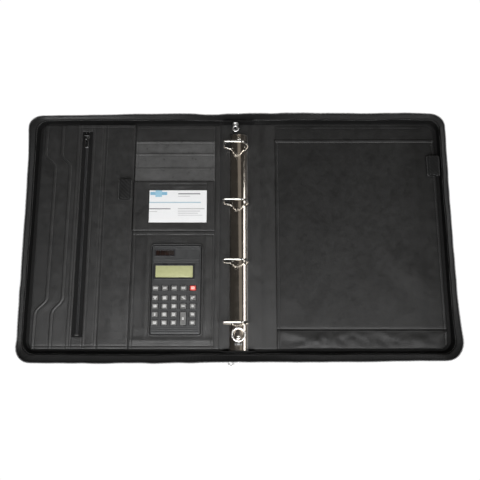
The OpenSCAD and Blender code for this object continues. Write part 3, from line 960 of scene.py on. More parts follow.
# rolled side flanges, end lips and the ears that hold the trigger; these nickel parts are drawn in the dark slider
# metal as painted shade
M = Mesh()
for s in (-1, 1):
    prof = [(s * 11.7, 4.1), (s * 12.15, 4.0), (s * 12.3, 3.9), (s * 12.3, 3.75), (s * 12.1, 3.64), (s * 11.6, 3.62)]
    for y0, y1 in ((-155, -122.1), (-117.9, -42.1), (-37.9, 37.9), (42.1, 117.9), (122.1, 141)):
        rings = [np.array([(x, y, z) for x, z in prof]) for y in (y0 + 0.2, y0 + 1, y1 - 1, y1 - 0.2)]
        M.add(*loft(rings))
for s in (-1, 1):
    # ear: plate upright with a round head and a bore for the pin
    th = np.linspace(0, math.pi, 13)
    prof = [(-2.6, plate_z(3.9) - 0.5)] + [(-2.0, plate_z(3.9) + 0.6)] + [(-2.0 * math.cos(q), 11.8 + 2.0 * math.sin(q)) for q in th] + [(2.0, plate_z(3.9) + 0.6), (2.6, plate_z(3.9) - 0.5)]
    rings = []
    for dx, k in ((-0.6, 0.93), (-0.45, 1.0), (0.45, 1.0), (0.6, 0.93)):
        rings.append(np.array([(s * 3.9 + dx, -146.5 + y * k, 11 + (z - 11) * k) for y, z in prof]))
    M.add(*loft(rings))
for y, sg in ((-154.6, -1), (140.6, 1)):
    rings = []
    for a in np.linspace(-a_max * 0.98, a_max * 0.98, 31):
        c = np.array([PR * math.sin(a), y, PC + PR * math.cos(a)])
        n = np.array([math.sin(a), 0, math.cos(a)])
        q = [c + n * 0.12, c + n * 0.05 + np.array([0, sg * 0.6, 0]), c - n * 0.9 + np.array([0, sg * 0.75, 0]), c - n * 1.3 + np.array([0, sg * 0.3, 0]), c - n * 1.0]
        rings.append(np.array(q))
    M.add(*loft(rings))
ride(M.obj("mechanism_flanges", MAT["slider"], 40), "spine", "nickel_plate")

# rivets: domed heads with a dimple and a washer ring
M = Mesh()
for y in (134, -138):
    prof = [(3.1, 9.9), (3.1, 10.25), (2.9, 10.42), (2.5, 10.45), (2.4, 10.6), (2.2, 11.0), (1.7, 11.25), (1.1, 11.3), (0.8, 11.1), (0.4, 11.0)]
    rings = []
    for r, z in prof:
        a = np.arange(28) * 2 * math.pi / 28
        rings.append(np.column_stack([r * np.cos(a), y + r * np.sin(a), np.full(28, z)]))
    M.add(*loft(rings))
    rings = []
    for r, z in ((1.45, 1.35), (1.45, 9.95)):
        a = np.arange(20) * 2 * math.pi / 20
        rings.append(np.column_stack([r * np.cos(a), y + r * np.sin(a), np.full(20, z)]))
    M.add(*loft(rings))
ride(M.obj("mechanism_rivets_v", MAT["wire"], 40), "spine", "nickel_plate", "mechanism_rivets")

# ---------------------------------------------------------------- rings
def blade_mesh(s):
    return rr_prism(min(s * 9.2, s * 0.12), -131, max(s * 9.2, s * 0.12), 131, 0.4, 4.35, 5.05, 0.2, 0.2, 2, 3)


M = Mesh()
M.add(*blade_mesh(-1))
for i in (-1.5, -.5, .5, 1.5):
    y = i * 80
    path = fillet([(-9.0, y, 5), (-20.7, y, 14.5), (-19.0, y, 36), (-16.55, y, 36)], [6, 1.7])
    path, _ = resample(path, 1.0)
    M.add(*tube(path, 1.5, 16))
    for zc in (5.2,):
        M.add(*tube([(-9.9, y, zc - 0.2), (-9.5, y, zc + 0.6), (-9.3, y, zc + 1.0)], [2.05, 2.05, 1.6], 16))
    tip = [(-16.9, y, 36), (-16.2, y, 36), (-15.9, y, 36)]
    M.add(*tube(tip, [0.95, 0.95, 0.6], 12))
ride(M.obj("left_rings_v", MAT["wire"], 50), "left_rings", "nickel_wire", "left_ring_set")

M = Mesh()
M.add(*blade_mesh(1))
for i in (-1.5, -.5, .5, 1.5):
    y = i * 80
    path = fillet([(-16.35, y, 36), (4, y, 36), (11.6, y, 28), (13.7, y, 16), (9.3, y, 5)], [8, 8, 5])
    path, _ = resample(path, 1.0)
    M.add(*tube(path, 1.5, 16))
    M.add(*tube([(9.6, y, 5.0), (9.5, y, 5.8), (9.4, y, 6.3)], [2.05, 2.05, 1.6], 16))
ride(M.obj("right_rings_v", MAT["wire"], 50), "right_rings", "nickel_wire", "right_ring_set")

# trigger: forged loop with a flat shank, hub and pin
M = Mesh()
th = np.linspace(0, 2 * math.pi, 49)[:-1]
loop = np.column_stack([8.3 * np.sin(th), -134.5 - 8.3 * np.cos(th), np.full(48, 11.8)])
k = 5
ring = []
for i in range(48):
    c = loop[i]
    rad = np.array([math.sin(th[i]), -math.cos(th[i]), 0])
    q = []
    for a in np.arange(12) * 2 * math.pi / 12:
        q.append(c + rad * (1.35 * math.cos(a)) + np.array([0, 0, 1.1 * math.sin(a)]))
    ring.append(np.array(q))
v = np.concatenate(ring)
a = np.arange(12)
f = [np.stack([i * 12 + a, i * 12 + np.roll(a, -1), ((i + 1) % 48) * 12 + np.roll(a, -1), ((i + 1) % 48) * 12 + a], -1) for i in range(48)]
M.add(v, f)
M.add(*rr_prism(-2.3, -146.4, 2.3, -141.6, 1.4, 10.95, 12.65, 0.6, 0.6, 3), 0)
# the hub barrel and pin are nickel drawn in the dark slider metal: painted shade
M.add(*tube([(-3.1, -146.5, 11.8), (-2.8, -146.5, 11.8), (2.8, -146.5, 11.8), (3.1, -146.5, 11.8)], [1.2, 1.5, 1.5, 1.2], 18), 1)
M.add(*tube([(-5.0, -146.5, 11.8), (-4.75, -146.5, 11.8), (4.75, -146.5, 11.8), (5.0, -146.5, 11.8)], [0.5, 0.8, 0.8, 0.5], 14), 1)
ride(M.obj("trigger_loop_v", [MAT["loop"], MAT["slider"]], 50), "ring_trigger", "nickel_wire", "trigger_lever")


# ---------------------------------------------------------------- zip sliders and pulls
def ear_pair(M, cx, py, pz, direction, length, half=2.4, r=1.25):
    for s in (-1, 1):
        th = np.linspace(-math.pi / 2, math.pi / 2, 11) if direction == "back" else np.linspace(0, math.pi, 11)
        if direction == "down":
            prof = [(-1.2, -length)] + [(-r * math.cos(t), r * math.sin(t)) for t in th] + [(1.2, -length)]
        else:
            prof = [(length, 1.2)] + [(-r * math.cos(t), -r * math.sin(t)) for t in th] + [(length, -1.2)]
        rings = [np.array([(cx + s * half + dx, py + y * k, pz + z * k) for y, z in prof]) for dx, k in ((-0.5, 0.94), (-0.35, 1), (0.35, 1), (0.5, 0.94))]
        M.add(*loft(rings))
    M.add(*tube([(cx - half - 0.6, py, pz), (cx - half - 0.4, py, pz), (cx + half + 0.4, py, pz), (cx + half + 0.6, py, pz)], [0.45, 0.68, 0.68, 0.45], 12))


def pull_mesh(M, cx, py, pz, w, l, t, eye=True):
    """barrel on the pin, neck and an oval loop hanging towards -Y, with rounded rims"""
    M.add(*tube([(cx - 1.7, py, pz), (cx - 1.5, py, pz), (cx + 1.5, py, pz), (cx + 1.7, py, pz)], [0.95, 1.2, 1.2, 0.95], 14))
    M.add(*rr_prism(cx - 1.4, py - 4.2, cx + 1.4, py - 0.4, 0.6, pz - t / 2, pz + t / 2, t * 0.4, t * 0.4, 3))
    n = 44
    th = np.arange(n) * 2 * math.pi / n
    r_mid, c0 = w / 2 - 1.25, py - 3.2 - w / 2
    rings = []
    for a in th:
        x, y = math.cos(a), math.sin(a)
        base = np.array([cx + r_mid * x, c0 + r_mid * y - (l - w if y < 0 else 0) * (1 if y < 0 else 0), pz])
        nrm = np.array([x, y, 0])
        q = [base + nrm * (1.25 * math.cos(b)) + np.array([0, 0, t * 0.55 * math.sin(b)]) for b in np.arange(10) * 2 * math.pi / 10]
        rings.append(np.array(q))
    v = np.concatenate(rings)
    a = np.arange(10)
    f = [np.stack([i * 10 + a, i * 10 + np.roll(a, -1), ((i + 1) % n) * 10 + np.roll(a, -1), ((i + 1) % n) * 10 + a], -1) for i in range(n)]
    M.add(v, f)


M = Mesh()
# top slider: two plates with a waist, bridge and ears
M.add(*rr_prism(-8.4, 151.8, 0.0, 157.1, 1.8, 12.6, 14.6, 0.7, 0.5, 3))
M.add(*rr_prism(-8.2, 152.0, -0.2, 157.0, 1.8, 8.0, 9.8, 0.5, 0.5, 3))
M.add(*rr_prism(-5.6, 152.6, -2.8, 156.6, 0.6, 9.4, 13.0, 0.1, 0.1, 1))
ear_pair(M, -4.2, 154.2, 17.2, "down", 3.2)
M.add(*rr_prism(-13.0, -161.0, -5.8, -157.05, 1.5, 2.2, 3.4, 0.5, 0.3, 3))
M.add(*rr_prism(-12.8, -160.9, -6.0, -157.1, 1.5, 0.4, 1.3, 0.3, 0.3, 3))
M.add(*rr_prism(-10.6, -160.4, -8.2, -157.6, 0.6, 1.1, 2.4, 0.1, 0.1, 1))
ear_pair(M, -9.4, -163.4, 1.9, "back", 3.2)
ride(M.obj("main_zip_sliders_v", MAT["slider"], 45), "spine", "zip_metal", "main_zip_sliders")
M = Mesh()
pull_mesh(M, -4.2, 154.2, 17.2, 9.6, 9.8, 1.4)
ride(M.obj("top_zip_pull_v", MAT["zipmetal"], 45), "top_pull", "zip_metal", "top_zip_pull")
M = Mesh()
pull_mesh(M, -9.4, -163.4, 1.9, 8.4, 9.0, 1.4)
ride(M.obj("bottom_zip_pull_v", MAT["zipmetal"], 45), "bottom_pull", "zip_metal", "bottom_zip_pull")


# ---------------------------------------------------------------- leather sheets
def sheet(x0, x1, y0, y1, top, zb, step=3.0, edge=1.2, ex=(), ey=(), xmap=None, corner=0, corners=(), er=None):
    """closed leather sheet: top(X, Y) is its upper height before the turned edges are rounded down to zb"""
    xs, ys = lines(x0, x1, step, edge, ex), lines(y0, y1, step, edge, ey)
    X, Y = np.meshgrid(xs, ys)
    d = np.minimum(np.minimum(X - x0, x1 - X), np.minimum(Y - y0, y1 - Y))
    if corner:
        X, Y = corner_map(X, Y, (x0, y0, x1, y1), corner, corners)
    if xmap:
        X = xmap(X, Y)
    zt = top(X, Y)
    zbv = np.broadcast_to(np.asarray(zb(X, Y) if callable(zb) else zb, float), X.shape)
    zt = zbv + np.maximum(zt - zbv, 0.25) * rounded(d, er or edge) + 0.02
    return slab(X, Y, zt, zbv.copy())


def run(points, n=2.0):
    return resample(np.array(points, float), n)[0]


def on(top, xy, lift=0.1):
    xy = np.asarray(xy, float)
    return np.column_stack([xy, top(xy[:, 0], xy[:, 1]) + lift])


# ---------------------------------------------------------------- organiser side
def pocket_x(y, outer, inner):
    w = sstep(y, -107, -87) * (1 - sstep(y, 94, 113))
    return outer + (inner - outer) * w


def rear_top(X, Y):
    e = X - pocket_x(Y, -269.5, -255)
    return (4.35 + 0.55 * (1 - sstep(e, 5, 22)) + 0.30 * bell(e, 1.6, 1.8) - 0.22 * bell(e, 4.4, 0.8)
            + 0.20 * fbm(X / 26, Y / 60, 101) * sstep(X, -268, -255) * (1 - sstep(X, -250, -240)))


def front_top(X, Y):
    e = X - pocket_x(Y, -247, -234)
    return (5.25 + 0.75 * (1 - sstep(e, 3, 20)) + 0.32 * bell(e, 1.6, 1.8) - 0.25 * bell(e, 4.4, 0.8)
            + 0.28 * fbm(X / 24, Y / 58, 111) * (1 - sstep(X, -230, -222)))


def zip_top(X, Y):
    z = 6.45 + 0.45 * (1 - bell(X, -210, 9)) + 0.30 * fbm(X / 22, Y / 48, 121)
    z = z - 0.5 * bell(X, -184.6, 1.3) - 0.16 * bell(X, -188.4, 0.7) - 0.16 * bell(X, -220.6, 0.7) - 0.16 * bell(X, -199.4, 0.7)
    z = z + 0.28 * bell(X, -218.2, 0.9) + 0.28 * bell(X, -201.8, 0.9)
    z = z - 0.22 * bell(Y, -148.6, 0.8) - 0.22 * bell(Y, 151.8, 0.8) + 0.5 * bell(X, -166, 12)
    return z


EY_HEM = [(-148.6, 1.6), (151.8, 1.6)]
M = Mesh()
M.add(*sheet(0, 126, -153, 156, lambda X, Y: rear_top(X, Y) - 0.22 * bell(Y, -148.6, 0.8), 3.72, 4.0, 1.3, [(4.4, 1.6)], EY_HEM,
             xmap=lambda X, Y: pocket_x(Y, -269.5, -255) + X / 126 * (-143.6 - pocket_x(Y, -269.5, -255))))
M.add(*sheet(0, 103, -153, 156, lambda X, Y: front_top(X, Y) - 0.22 * bell(Y, -148.6, 0.8), 4.75, 4.0, 1.3, [(4.4, 1.6)], EY_HEM,
             xmap=lambda X, Y: pocket_x(Y, -247, -234) + X / 103 * (-143.6 - pocket_x(Y, -247, -234))))
ride(M.obj("document_pockets_v", MAT["panel"], 55), "left_side", "panel_leather", "document_pockets")
M = Mesh()
for top, ou, inn in ((rear_top, -269.5, -255), (front_top, -247, -234)):
    ysr = np.linspace(-151, 154, 180)
    xy = np.column_stack([pocket_x(ysr, ou, inn) + 4.4, ysr])
    stitches(M, on(top, xy, 0.14), pitch=3.0, r=0.25)
for x0, x1, top in ((-266, -246, rear_top), (-243, -225, front_top)):
    stitches(M, on(top, run([(x0, -148.6), (x1, -148.6)]), 0.02), pitch=3.0, r=0.27)
ride(M.obj("document_pocket_stitching", MAT["thread"]), "left_side", "panel_leather")

# zip pocket panel: four strips round its slot
M = Mesh()
M.add(*sheet(-224, -217, -153, 156, zip_top, 5.7, 3.0, 0.8, [(-220.6, 1.2)], EY_HEM))
M.add(*sheet(-203, -143.6, -153, 156, zip_top, 5.7, 3.0, 0.8, [(-199.4, 1.2), (-184.6, 2.6), (-188.4, 1.2)], EY_HEM))
M.add(*sheet(-217.4, -202.6, 146, 156, zip_top, 5.7, 2.5, 0.8, (), [(151.8, 1.6)]))
M.add(*sheet(-217.4, -202.6, -153, -137, zip_top, 5.7, 2.5, 0.8, (), [(-148.6, 1.6), (-140.5, 1.2)]))
ride(M.obj("zip_pocket_panel_v", MAT["panel"], 55), "left_side", "panel_leather", "zip_pocket_panel")
M = Mesh()
for pts in ([(-220.6, -146), (-220.6, 151)], [(-199.4, -140.5), (-199.4, 149)], [(-188.4, -152), (-188.4, 155)],
            [(-181.6, -152), (-181.6, 155)], [(-222, -148.6), (-146, -148.6)], [(-222, 151.8), (-146, 151.8)],
            [(-219, -140.5), (-200, -140.5)], [(-219, 148.8), (-200, 148.8)]):
    stitches(M, on(zip_top, run(pts), 0.02), pitch=3.0, r=0.27)
ride(M.obj("zip_pocket_stitching", MAT["thread"]), "left_side", "panel_leather")

# inner zip: two woven tapes, a coil of teeth between them and end stops
M = Mesh()


def tape_top(X, Y):
    return 5.95 + 0.12 * bell(np.abs(X + 210), 2.9, 0.5) + 0.10 * noise(X / 6, Y / 20, 131)


M.add(*sheet(-216.9, -210.3, -136.9, 145.9, tape_top, 5.65, 3.0, 0.3, [(-213, 1.0)]))
M.add(*sheet(-209.7, -203.1, -136.9, 145.9, tape_top, 5.65, 3.0, 0.3, [(-207, 1.0)]))
ysz = np.arange(-133, 131.5, 1.25)
tv, tf = bmesh_template((2.3, 0.78, 0.8), 0.2)
for s in (-1, 1):
    P = np.column_stack([np.full(len(ysz), -210 + s * 0.95), ysz + (0.31 if s > 0 else -0.31), np.full(len(ysz), 6.45)])
    v, f = place(tv, tf, P, np.tile([1, 0, 0], (len(P), 1)), np.tile([0, 0, 1], (len(P), 1)))
    M.add(v, f, 1)
    yso = np.arange(142.2, 145.5, 1.25)
    P = np.column_stack([np.full(len(yso), -210 + s * 1.9), yso, np.full(len(yso), 6.45)])
    v, f = place(tv, tf, P, np.tile([1, 0, 0], (len(P), 1)), np.tile([0, 0, 1], (len(P), 1)))
    M.add(v, f, 1)
M.add(*rr_prism(-212.4, -136.0, -207.6, -133.6, 0.6, 5.9, 7.1, 0.35), 2)
ride(M.obj("inner_zip_chain_v", [MAT["tape"], MAT["teeth"], MAT["darkmetal"]], 45), "left_side", "zip_tape", "inner_zip_chain")
M = Mesh()
th = np.linspace(0, 1, 9)
outline = [(-2.2, -5.0), (2.2, -5.0), (3.1, -2.0), (4.0, 1.5), (4.0, 3.6), (2.8, 5.0), (0.9, 4.2), (-0.9, 4.2), (-2.8, 5.0), (-4.0, 3.6), (-4.0, 1.5), (-3.1, -2.0)]
rings = [np.array([(-210 + x * k, 137 + y * k, z) for x, y in outline]) for k, z in ((0.93, 6.95), (1.0, 7.2), (1.0, 8.6), (0.95, 8.95), (0.86, 9.15))]
M.add(*loft(rings))
M.add(*rr_prism(-211.0, 133.4, -209.0, 141.4, 0.9, 8.9, 9.5, 0.4))
ear_pair(M, -210, 138, 11, "down", 2.3)
ride(M.obj("inner_zip_slider_v", MAT["darkmetal"], 45), "inner_slider", "dark_zip_metal", "inner_zip_slider")
M = Mesh()
pull_mesh(M, -210, 138, 11, 7, 15, 1.2)
ride(M.obj("inner_zip_pull_v", MAT["darkmetal"], 45), "inner_pull", "dark_zip_metal", "inner_zip_pull")

# card pockets: base sheet, three slot sheets with slack upper edges
CR = -25.6


def base_top(X, Y):
    return 4.1 + 0.35 * sstep(Y, 131, 140) + 0.18 * fbm(X / 24, Y / 30, 141) + 0.55 * bell(X, -29.5, 3.0) - 0.25 * bell(X, -33.4, 0.8)


M = Mesh()
M.add(*sheet(-142.4, CR, -153, 156, base_top, 3.66, 3.2, 1.2, [(-33.4, 1.4), (-29.5, 3)], EY_HEM))


def slot_top(y1, z, seed):
    def top(X, Y):
        u = np.clip((X + 142) / 109, 0, 1)
        along = np.sin(math.pi * u) ** 0.7
        d = y1 - Y
        z_ = z + (0.55 + 0.75 * along) * np.exp(-np.clip(d, 0, None) / 9.0) + 0.35 * along * bell(d, 9, 6)
        z_ = z_ + 0.25 * bell(d, 1.2, 1.2) - 0.16 * bell(d, 3.6, 0.7)
        z_ = z_ + 0.16 * fbm(X / 18, Y / 11, seed) * along - 0.30 * bell(X, -139.2, 0.9) - 0.30 * bell(X, -35.8, 0.9)
        z_ = np.where(z_ > 6.8, 6.8 + (z_ - 6.8) * 0.15, z_)
        return z_ - 0.25 * bell(Y, 8, 1.0)
    return top


SLOTS = [(132, 4.7, 151), (114, 5.75, 161), (93, 6.8, 171)]
# the three slot sheets take the paler slot leather (material 1): painted sheen
for y1, z, sd in SLOTS:
    M.add(*sheet(-142.2, -32.6, 4.5, y1, slot_top(y1, z, sd), lambda X, Y, z=z, y1=y1: np.minimum(6.45, z - 0.55 + (0.4 + 0.75 * np.sin(math.pi * np.clip((X + 142) / 109, 0, 1)) ** 0.7) * np.exp(-(y1 - Y) / 6.0)) * 0.8,
                 2.6, 0.9, [(-139.2, 1.4), (-35.8, 1.4)], [(y1 - 3.6, 1.2), (y1 - 9, 5)]), 1)
o = M.obj("card_pockets_v", [MAT["panel"], MAT["slot"]], 55)
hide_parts("card_pockets")
blend_side(o)
M = Mesh()
for y1, z, sd in SLOTS:
    t = slot_top(y1, z, sd)
    stitches(M, on(t, run([(-138, y1 - 3.6), (-37, y1 - 3.6)]), 0.05), pitch=2.8, r=0.25)
    nxt = {132: 114, 114: 93, 93: 73}[y1]
    for x in (-139.2, -35.8):
        stitches(M, on(t, run([(x, nxt + 1), (x, y1 - 1)]), 0.05), pitch=2.8, r=0.27)
stitches(M, on(base_top, run([(-33.4, -151), (-33.4, 154)]), 0.02), pitch=3.0, r=0.27)
stitches(M, on(base_top, run([(-140, 151.8), (-28, 151.8)]), 0.05), pitch=3.0, r=0.27)
o = M.obj("card_pocket_stitching", MAT["thread"])
blend_side(o)


# window panel with its folded window edge
def win_top(X, Y):
    z = 8.35 + 0.22 * bell(Y, 71.6, 1.6) + 0.22 * fbm(X / 20, Y / 17, 181) - 0.2 * bell(Y, 68.6, 0.8)
    inx = sstep(X, -127, -121.5) * (1 - sstep(X, -42.5, -37))
    iny = sstep(Y, 9, 14.5) * (1 - sstep(Y, 60.5, 66))
    z = z - 0.55 * inx * iny + 0.5 * np.sin(math.pi * np.clip((X + 142) / 109, 0, 1)) * sstep(Y, 60, 73)
    z = z - 0.3 * bell(X, -139.2, 0.9) - 0.3 * bell(X, -35.8, 0.9)
    return z


M = Mesh()
zb_w = lambda X, Y: 7.98 + 0.35 * np.sin(math.pi * np.clip((X + 142) / 109, 0, 1)) * sstep(Y, 62, 73)
EX_W = [(-139.2, 1.4), (-35.8, 1.4)]
M.add(*sheet(-142.2, -121, 4.2, 73.2, win_top, zb_w, 2.4, 0.8, [(-139.2, 1.4), (-124, 1.2)]))
M.add(*sheet(-43, -32.6, 4.2, 73.2, win_top, zb_w, 2.4, 0.8, [(-35.8, 1.4), (-40, 1.2)]))
M.add(*sheet(-121.4, -42.6, 60, 73.2, win_top, zb_w, 2.4, 0.8, (), [(68.6, 1.2), (63, 1.2)]))
M.add(*sheet(-121.4, -42.6, 4.2, 15, win_top, zb_w, 2.4, 0.8, (), [(12, 1.2)]))
# side welts that close the card's bay
for x0, x1 in ((-142.0, -126.0), (-38.4, -32.8)):
    M.add(*rr_prism(x0, 5, x1, 72, 0.5, 7.3, 8.05, 0.2, 0.2, 2))
o = M.obj("card_window_panel_v", MAT["panel"], 55)
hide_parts("card_window_panel")
blend_side(o)
M = Mesh()
for pts in ([(-123.6, 12.4), (-123.6, 62.6), (-40.4, 62.6), (-40.4, 12.4), (-123.6, 12.4)], [(-139, 68.6), (-36, 68.6)],
            [(-139.2, 6), (-139.2, 72)], [(-35.8, 6), (-35.8, 72)]):
    stitches(M, on(win_top, run(pts, 1.0), 0.05), pitch=2.8, r=0.25)
o = M.obj("card_window_stitching", MAT["thread"])
blend_side(o)


# sheet that carries the calculator, with a raised welt all round the well
def calc_sheet_top(X, Y):
    z = 4.9 + 0.30 * fbm(X / 26, Y / 34, 191) + 0.2 * bell(Y, 1.6, 2.2) - 0.2 * bell(Y, -1.6, 0.8)
    z = z - 0.3 * bell(X, -139.2, 0.9) - 0.3 * bell(X, -35.8, 0.9) - 0.22 * bell(Y, -148.6, 0.8)
    z = z + 0.7 * bell(X, -43.5, 3.2) * sstep(Y, -150, -120) + 0.6 * bell(X, -122, 3.2) * sstep(Y, -150, -120)
    z = z + 0.45 * bell(Y, -141.5, 3.4)
    return z


M = Mesh()
M.add(*sheet(-142.2, -32.6, -152.6, 3.8, calc_sheet_top, 4.28, 2.8, 1.0, [(-139.2, 1.4), (-35.8, 1.4), (-43.5, 4), (-122, 4)], [(-148.6, 1.6), (-1.6, 1.2), (-141.5, 4)]))
o = M.obj("calculator_sheet", MAT["panel"], 55)
blend_side(o)
M = Mesh()
for pts in ([(-139.2, -151), (-139.2, 2)], [(-35.8, -151), (-35.8, 2)], [(-139, -1.6), (-36, -1.6)], [(-140, -148.6), (-35, -148.6)]):
    stitches(M, on(calc_sheet_top, run(pts), 0.05), pitch=3.0, r=0.27)
o = M.obj("calculator_sheet_stitching", MAT["thread"])
blend_side(o)
ccx, ccy, cw, cl = -82.35, -75.0, 64.7, 117.4
M = Mesh()
wx, wy = cw / 2 + 1.9, cl / 2 + 1.9
pth = rrect(ccx - wx, ccy - wy, ccx + wx, ccy + wy, 4.5, 6)
pth3 = np.column_stack([pth, np.full(len(pth), 5.75) + 0.15 * noise(pth[:, 0] / 9, pth[:, 1] / 9, 5)])
pth3, _ = resample(np.vstack([pth3, pth3[:1]]), 3.0)
M.add(*tube(pth3[:-1], 1.25, 12, closed=True))
M.add(*rr_prism(ccx - wx, ccy - wy, ccx + wx, ccy + wy, 5, 4.4, 5.02, 0.2, 0.2, 2))
ride(M.obj("calculator_welt", MAT["panel"], 60), "left_side", "panel_leather", "calculator_holder")


# elastic pen loops
def pen_loop(cx, w, z0, h, y0, y1, seed):
    prof = []
    hw, hh, r = w / 2, h / 2, h / 2 - 0.05
    for px, s0 in ((hw - r, -90), (-hw + r, 90)):
        for i in range(13):
            a = math.radians(s0 + 180 * i / 12)
            prof.append((px + r * math.cos(a), r * math.sin(a), math.cos(a), math.sin(a)))
    ysn = np.array([0, .25, .7, 1.5] + list(np.linspace(3, y1 - y0 - 3, 9)) + [y1 - y0 - 1.5, y1 - y0 - .7, y1 - y0 - .25, y1 - y0])
    n = len(ysn)
    V = []
    for j, yy in enumerate(ysn):
        e = min(yy, y1 - y0 - yy)
        k = 0.35 * (1 - rounded(np.array(e), 0.7))
        for side_, t in ((1, 0.0), (-1, 1.1)):
            pts = []
            for px, pz, nx, nz in prof:
                off = -t + (-k if side_ > 0 else k)
                pz2 = (pz + nz * off)
                bulge = 0.25 * math.sin(math.pi * yy / (y1 - y0)) * (1 if nz > 0 else 0)
                pts.append((cx + px + nx * off, y0 + yy + 0.25 * float(noise(px / 5, 0.3, seed)), z0 + hh + pz2 + bulge * nz))
            V.append(pts)
    V = np.array(V).reshape(n, 2, len(prof), 3)
    k = len(prof)
    f = []
    a = np.arange(k)
    b = np.roll(a, -1)
    for j in range(n - 1):
        o0, o1 = (2 * j) * k, (2 * j + 2) * k
        f.append(np.stack([o0 + a, o0 + b, o1 + b, o1 + a], -1))
        o0, o1 = (2 * j + 1) * k, (2 * j + 3) * k
        f.append(np.stack([o0 + b, o0 + a, o1 + a, o1 + b], -1))
    for j, fl in ((0, True), (n - 1, False)):
        o0, o1 = 2 * j * k, (2 * j + 1) * k
        q = np.stack([o0 + a, o0 + b, o1 + b, o1 + a], -1)
        f.append(q[:, ::-1] if fl else q)
    return V.reshape(-1, 3), f


M = Mesh().add(*pen_loop(-154, 17.6, 6.75, 8.6, 47, 74, 7))
ride(M.obj("left_pen_loop_v", MAT["elastic"], 60), "left_side", "elastic", "left_pen_loop")
M = Mesh().add(*pen_loop(267.2, 16.8, 5.6, 8.4, 81, 108, 9))
ride(M.obj("right_pen_loop_v", MAT["elastic"], 60), "right_side", "elastic", "right_pen_loop")


# ---------------------------------------------------------------- pad side
def pad_top(X, Y):
    u, v_ = (X - 50) / 222, (Y + 127) / 262
    z = 4.75 + 0.5 * np.clip(np.sin(math.pi * np.clip(u, 0, 1)) * np.sin(math.pi * np.clip(v_, 0, 1)), 0, 1) ** 0.6
    z = z + 0.32 * fbm(X / 60, Y / 70, 201) + 0.10 * fbm(X / 20, Y / 24, 205)
    # soft diagonal folds towards the lower outer corner
    q = (X - 205) * 0.66 + (Y + 45) * 0.75
    w = bell(X, 225, 42) * bell(Y, -55, 52)
    z = z + 0.55 * w * np.sin(q / 9.0 + 0.6 * noise(X / 30, Y / 30, 211))
    z = z + 0.5 * bell(X, 95, 30) * bell(Y, -95, 30) * noise(X / 16, Y / 30, 215)
    z = z + 0.35 * bell(Y, 133.2, 1.5) - 0.22 * bell(Y, 130.4, 0.8)
    # sewn strip across the bottom, slack and creased
    low = 1 - sstep(Y, -128.5, -126.2)
    puck = 0.85 * fbm(X / 17, Y / 13, 221, 3) + 0.7 * noise(X / 31, Y / 40, 225) + 0.35 * noise(X / 6.5, Y / 9.0, 229)
    z = z * (1 - low) + low * (4.9 + 0.8 * np.sin(math.pi * np.clip((Y + 153) / 26, 0, 1)) ** 0.8 + puck * np.sin(math.pi * np.clip((Y + 153) / 26, 0, 1)) ** 0.7)
    z = z - 0.75 * bell(Y, -127.3, 1.1)
    z = z - 0.35 * bell(X, 54.2, 0.9) + 0.3 * bell(X, 52.0, 1.3)
    z = z - 0.25 * bell(X, 268.4, 0.8)
    return np.maximum(z, 4.1)


M = Mesh()
M.add(*sheet(50, 272, -152.6, 135, pad_top, 3.75, 2.6, 1.1, [(54.2, 1.6), (268.4, 1.2)], [(-127.3, 2.4), (130.4, 1.2), (133.2, 1.6)], corner=11, corners=[(1, -1)]))
ride(M.obj("pad_pocket_v", MAT["pad"], 55), "right_side", "panel_leather", "pad_pocket")
M = Mesh()
for pts in ([(54.2, -125), (54.2, 134)], [(268.4, -140), (268.4, 134)], [(56, -130.2), (266, -130.2)]):
    stitches(M, on(pad_top, run(pts), 0.03), pitch=3.0, r=0.27)
ride(M.obj("pad_pocket_stitching", MAT["thread"]), "right_side", "panel_leather")
M = Mesh()
stitches(M, on(pad_top, run([(52, 130.4), (270, 130.4)]), 0.08), pitch=2.8, r=0.33, gap=0.5)
ride(M.obj("pad_pocket_top_stitching", MAT["thread_light"]), "right_side", "panel_leather")


# upper facing behind the pad pocket
def facing_top(X, Y):
    return (3.95 + 0.18 * fbm(X / 24, Y / 18, 241) + 0.30 * bell(X, 48.4, 1.6) - 0.25 * bell(X, 45.6, 0.8)
            - 0.25 * bell(Y, 151.6, 0.8) + 0.15 * bell(X, 53, 20))


M = Mesh()
M.add(*sheet(50.3, 271.6, 120, 155.2, facing_top, 3.62, 3.0, 1.0, (), [(151.6, 1.2)], corner=10, corners=[(1, 1)]))
ride(M.obj("pad_side_facing", MAT["pad"], 55), "right_side", "panel_leather")
M = Mesh()
stitches(M, on(facing_top, run([(52, 151.6), (262, 151.6)]), 0.05), pitch=3.0, r=0.27)
ride(M.obj("pad_side_facing_stitching", MAT["thread"]), "right_side", "panel_leather")


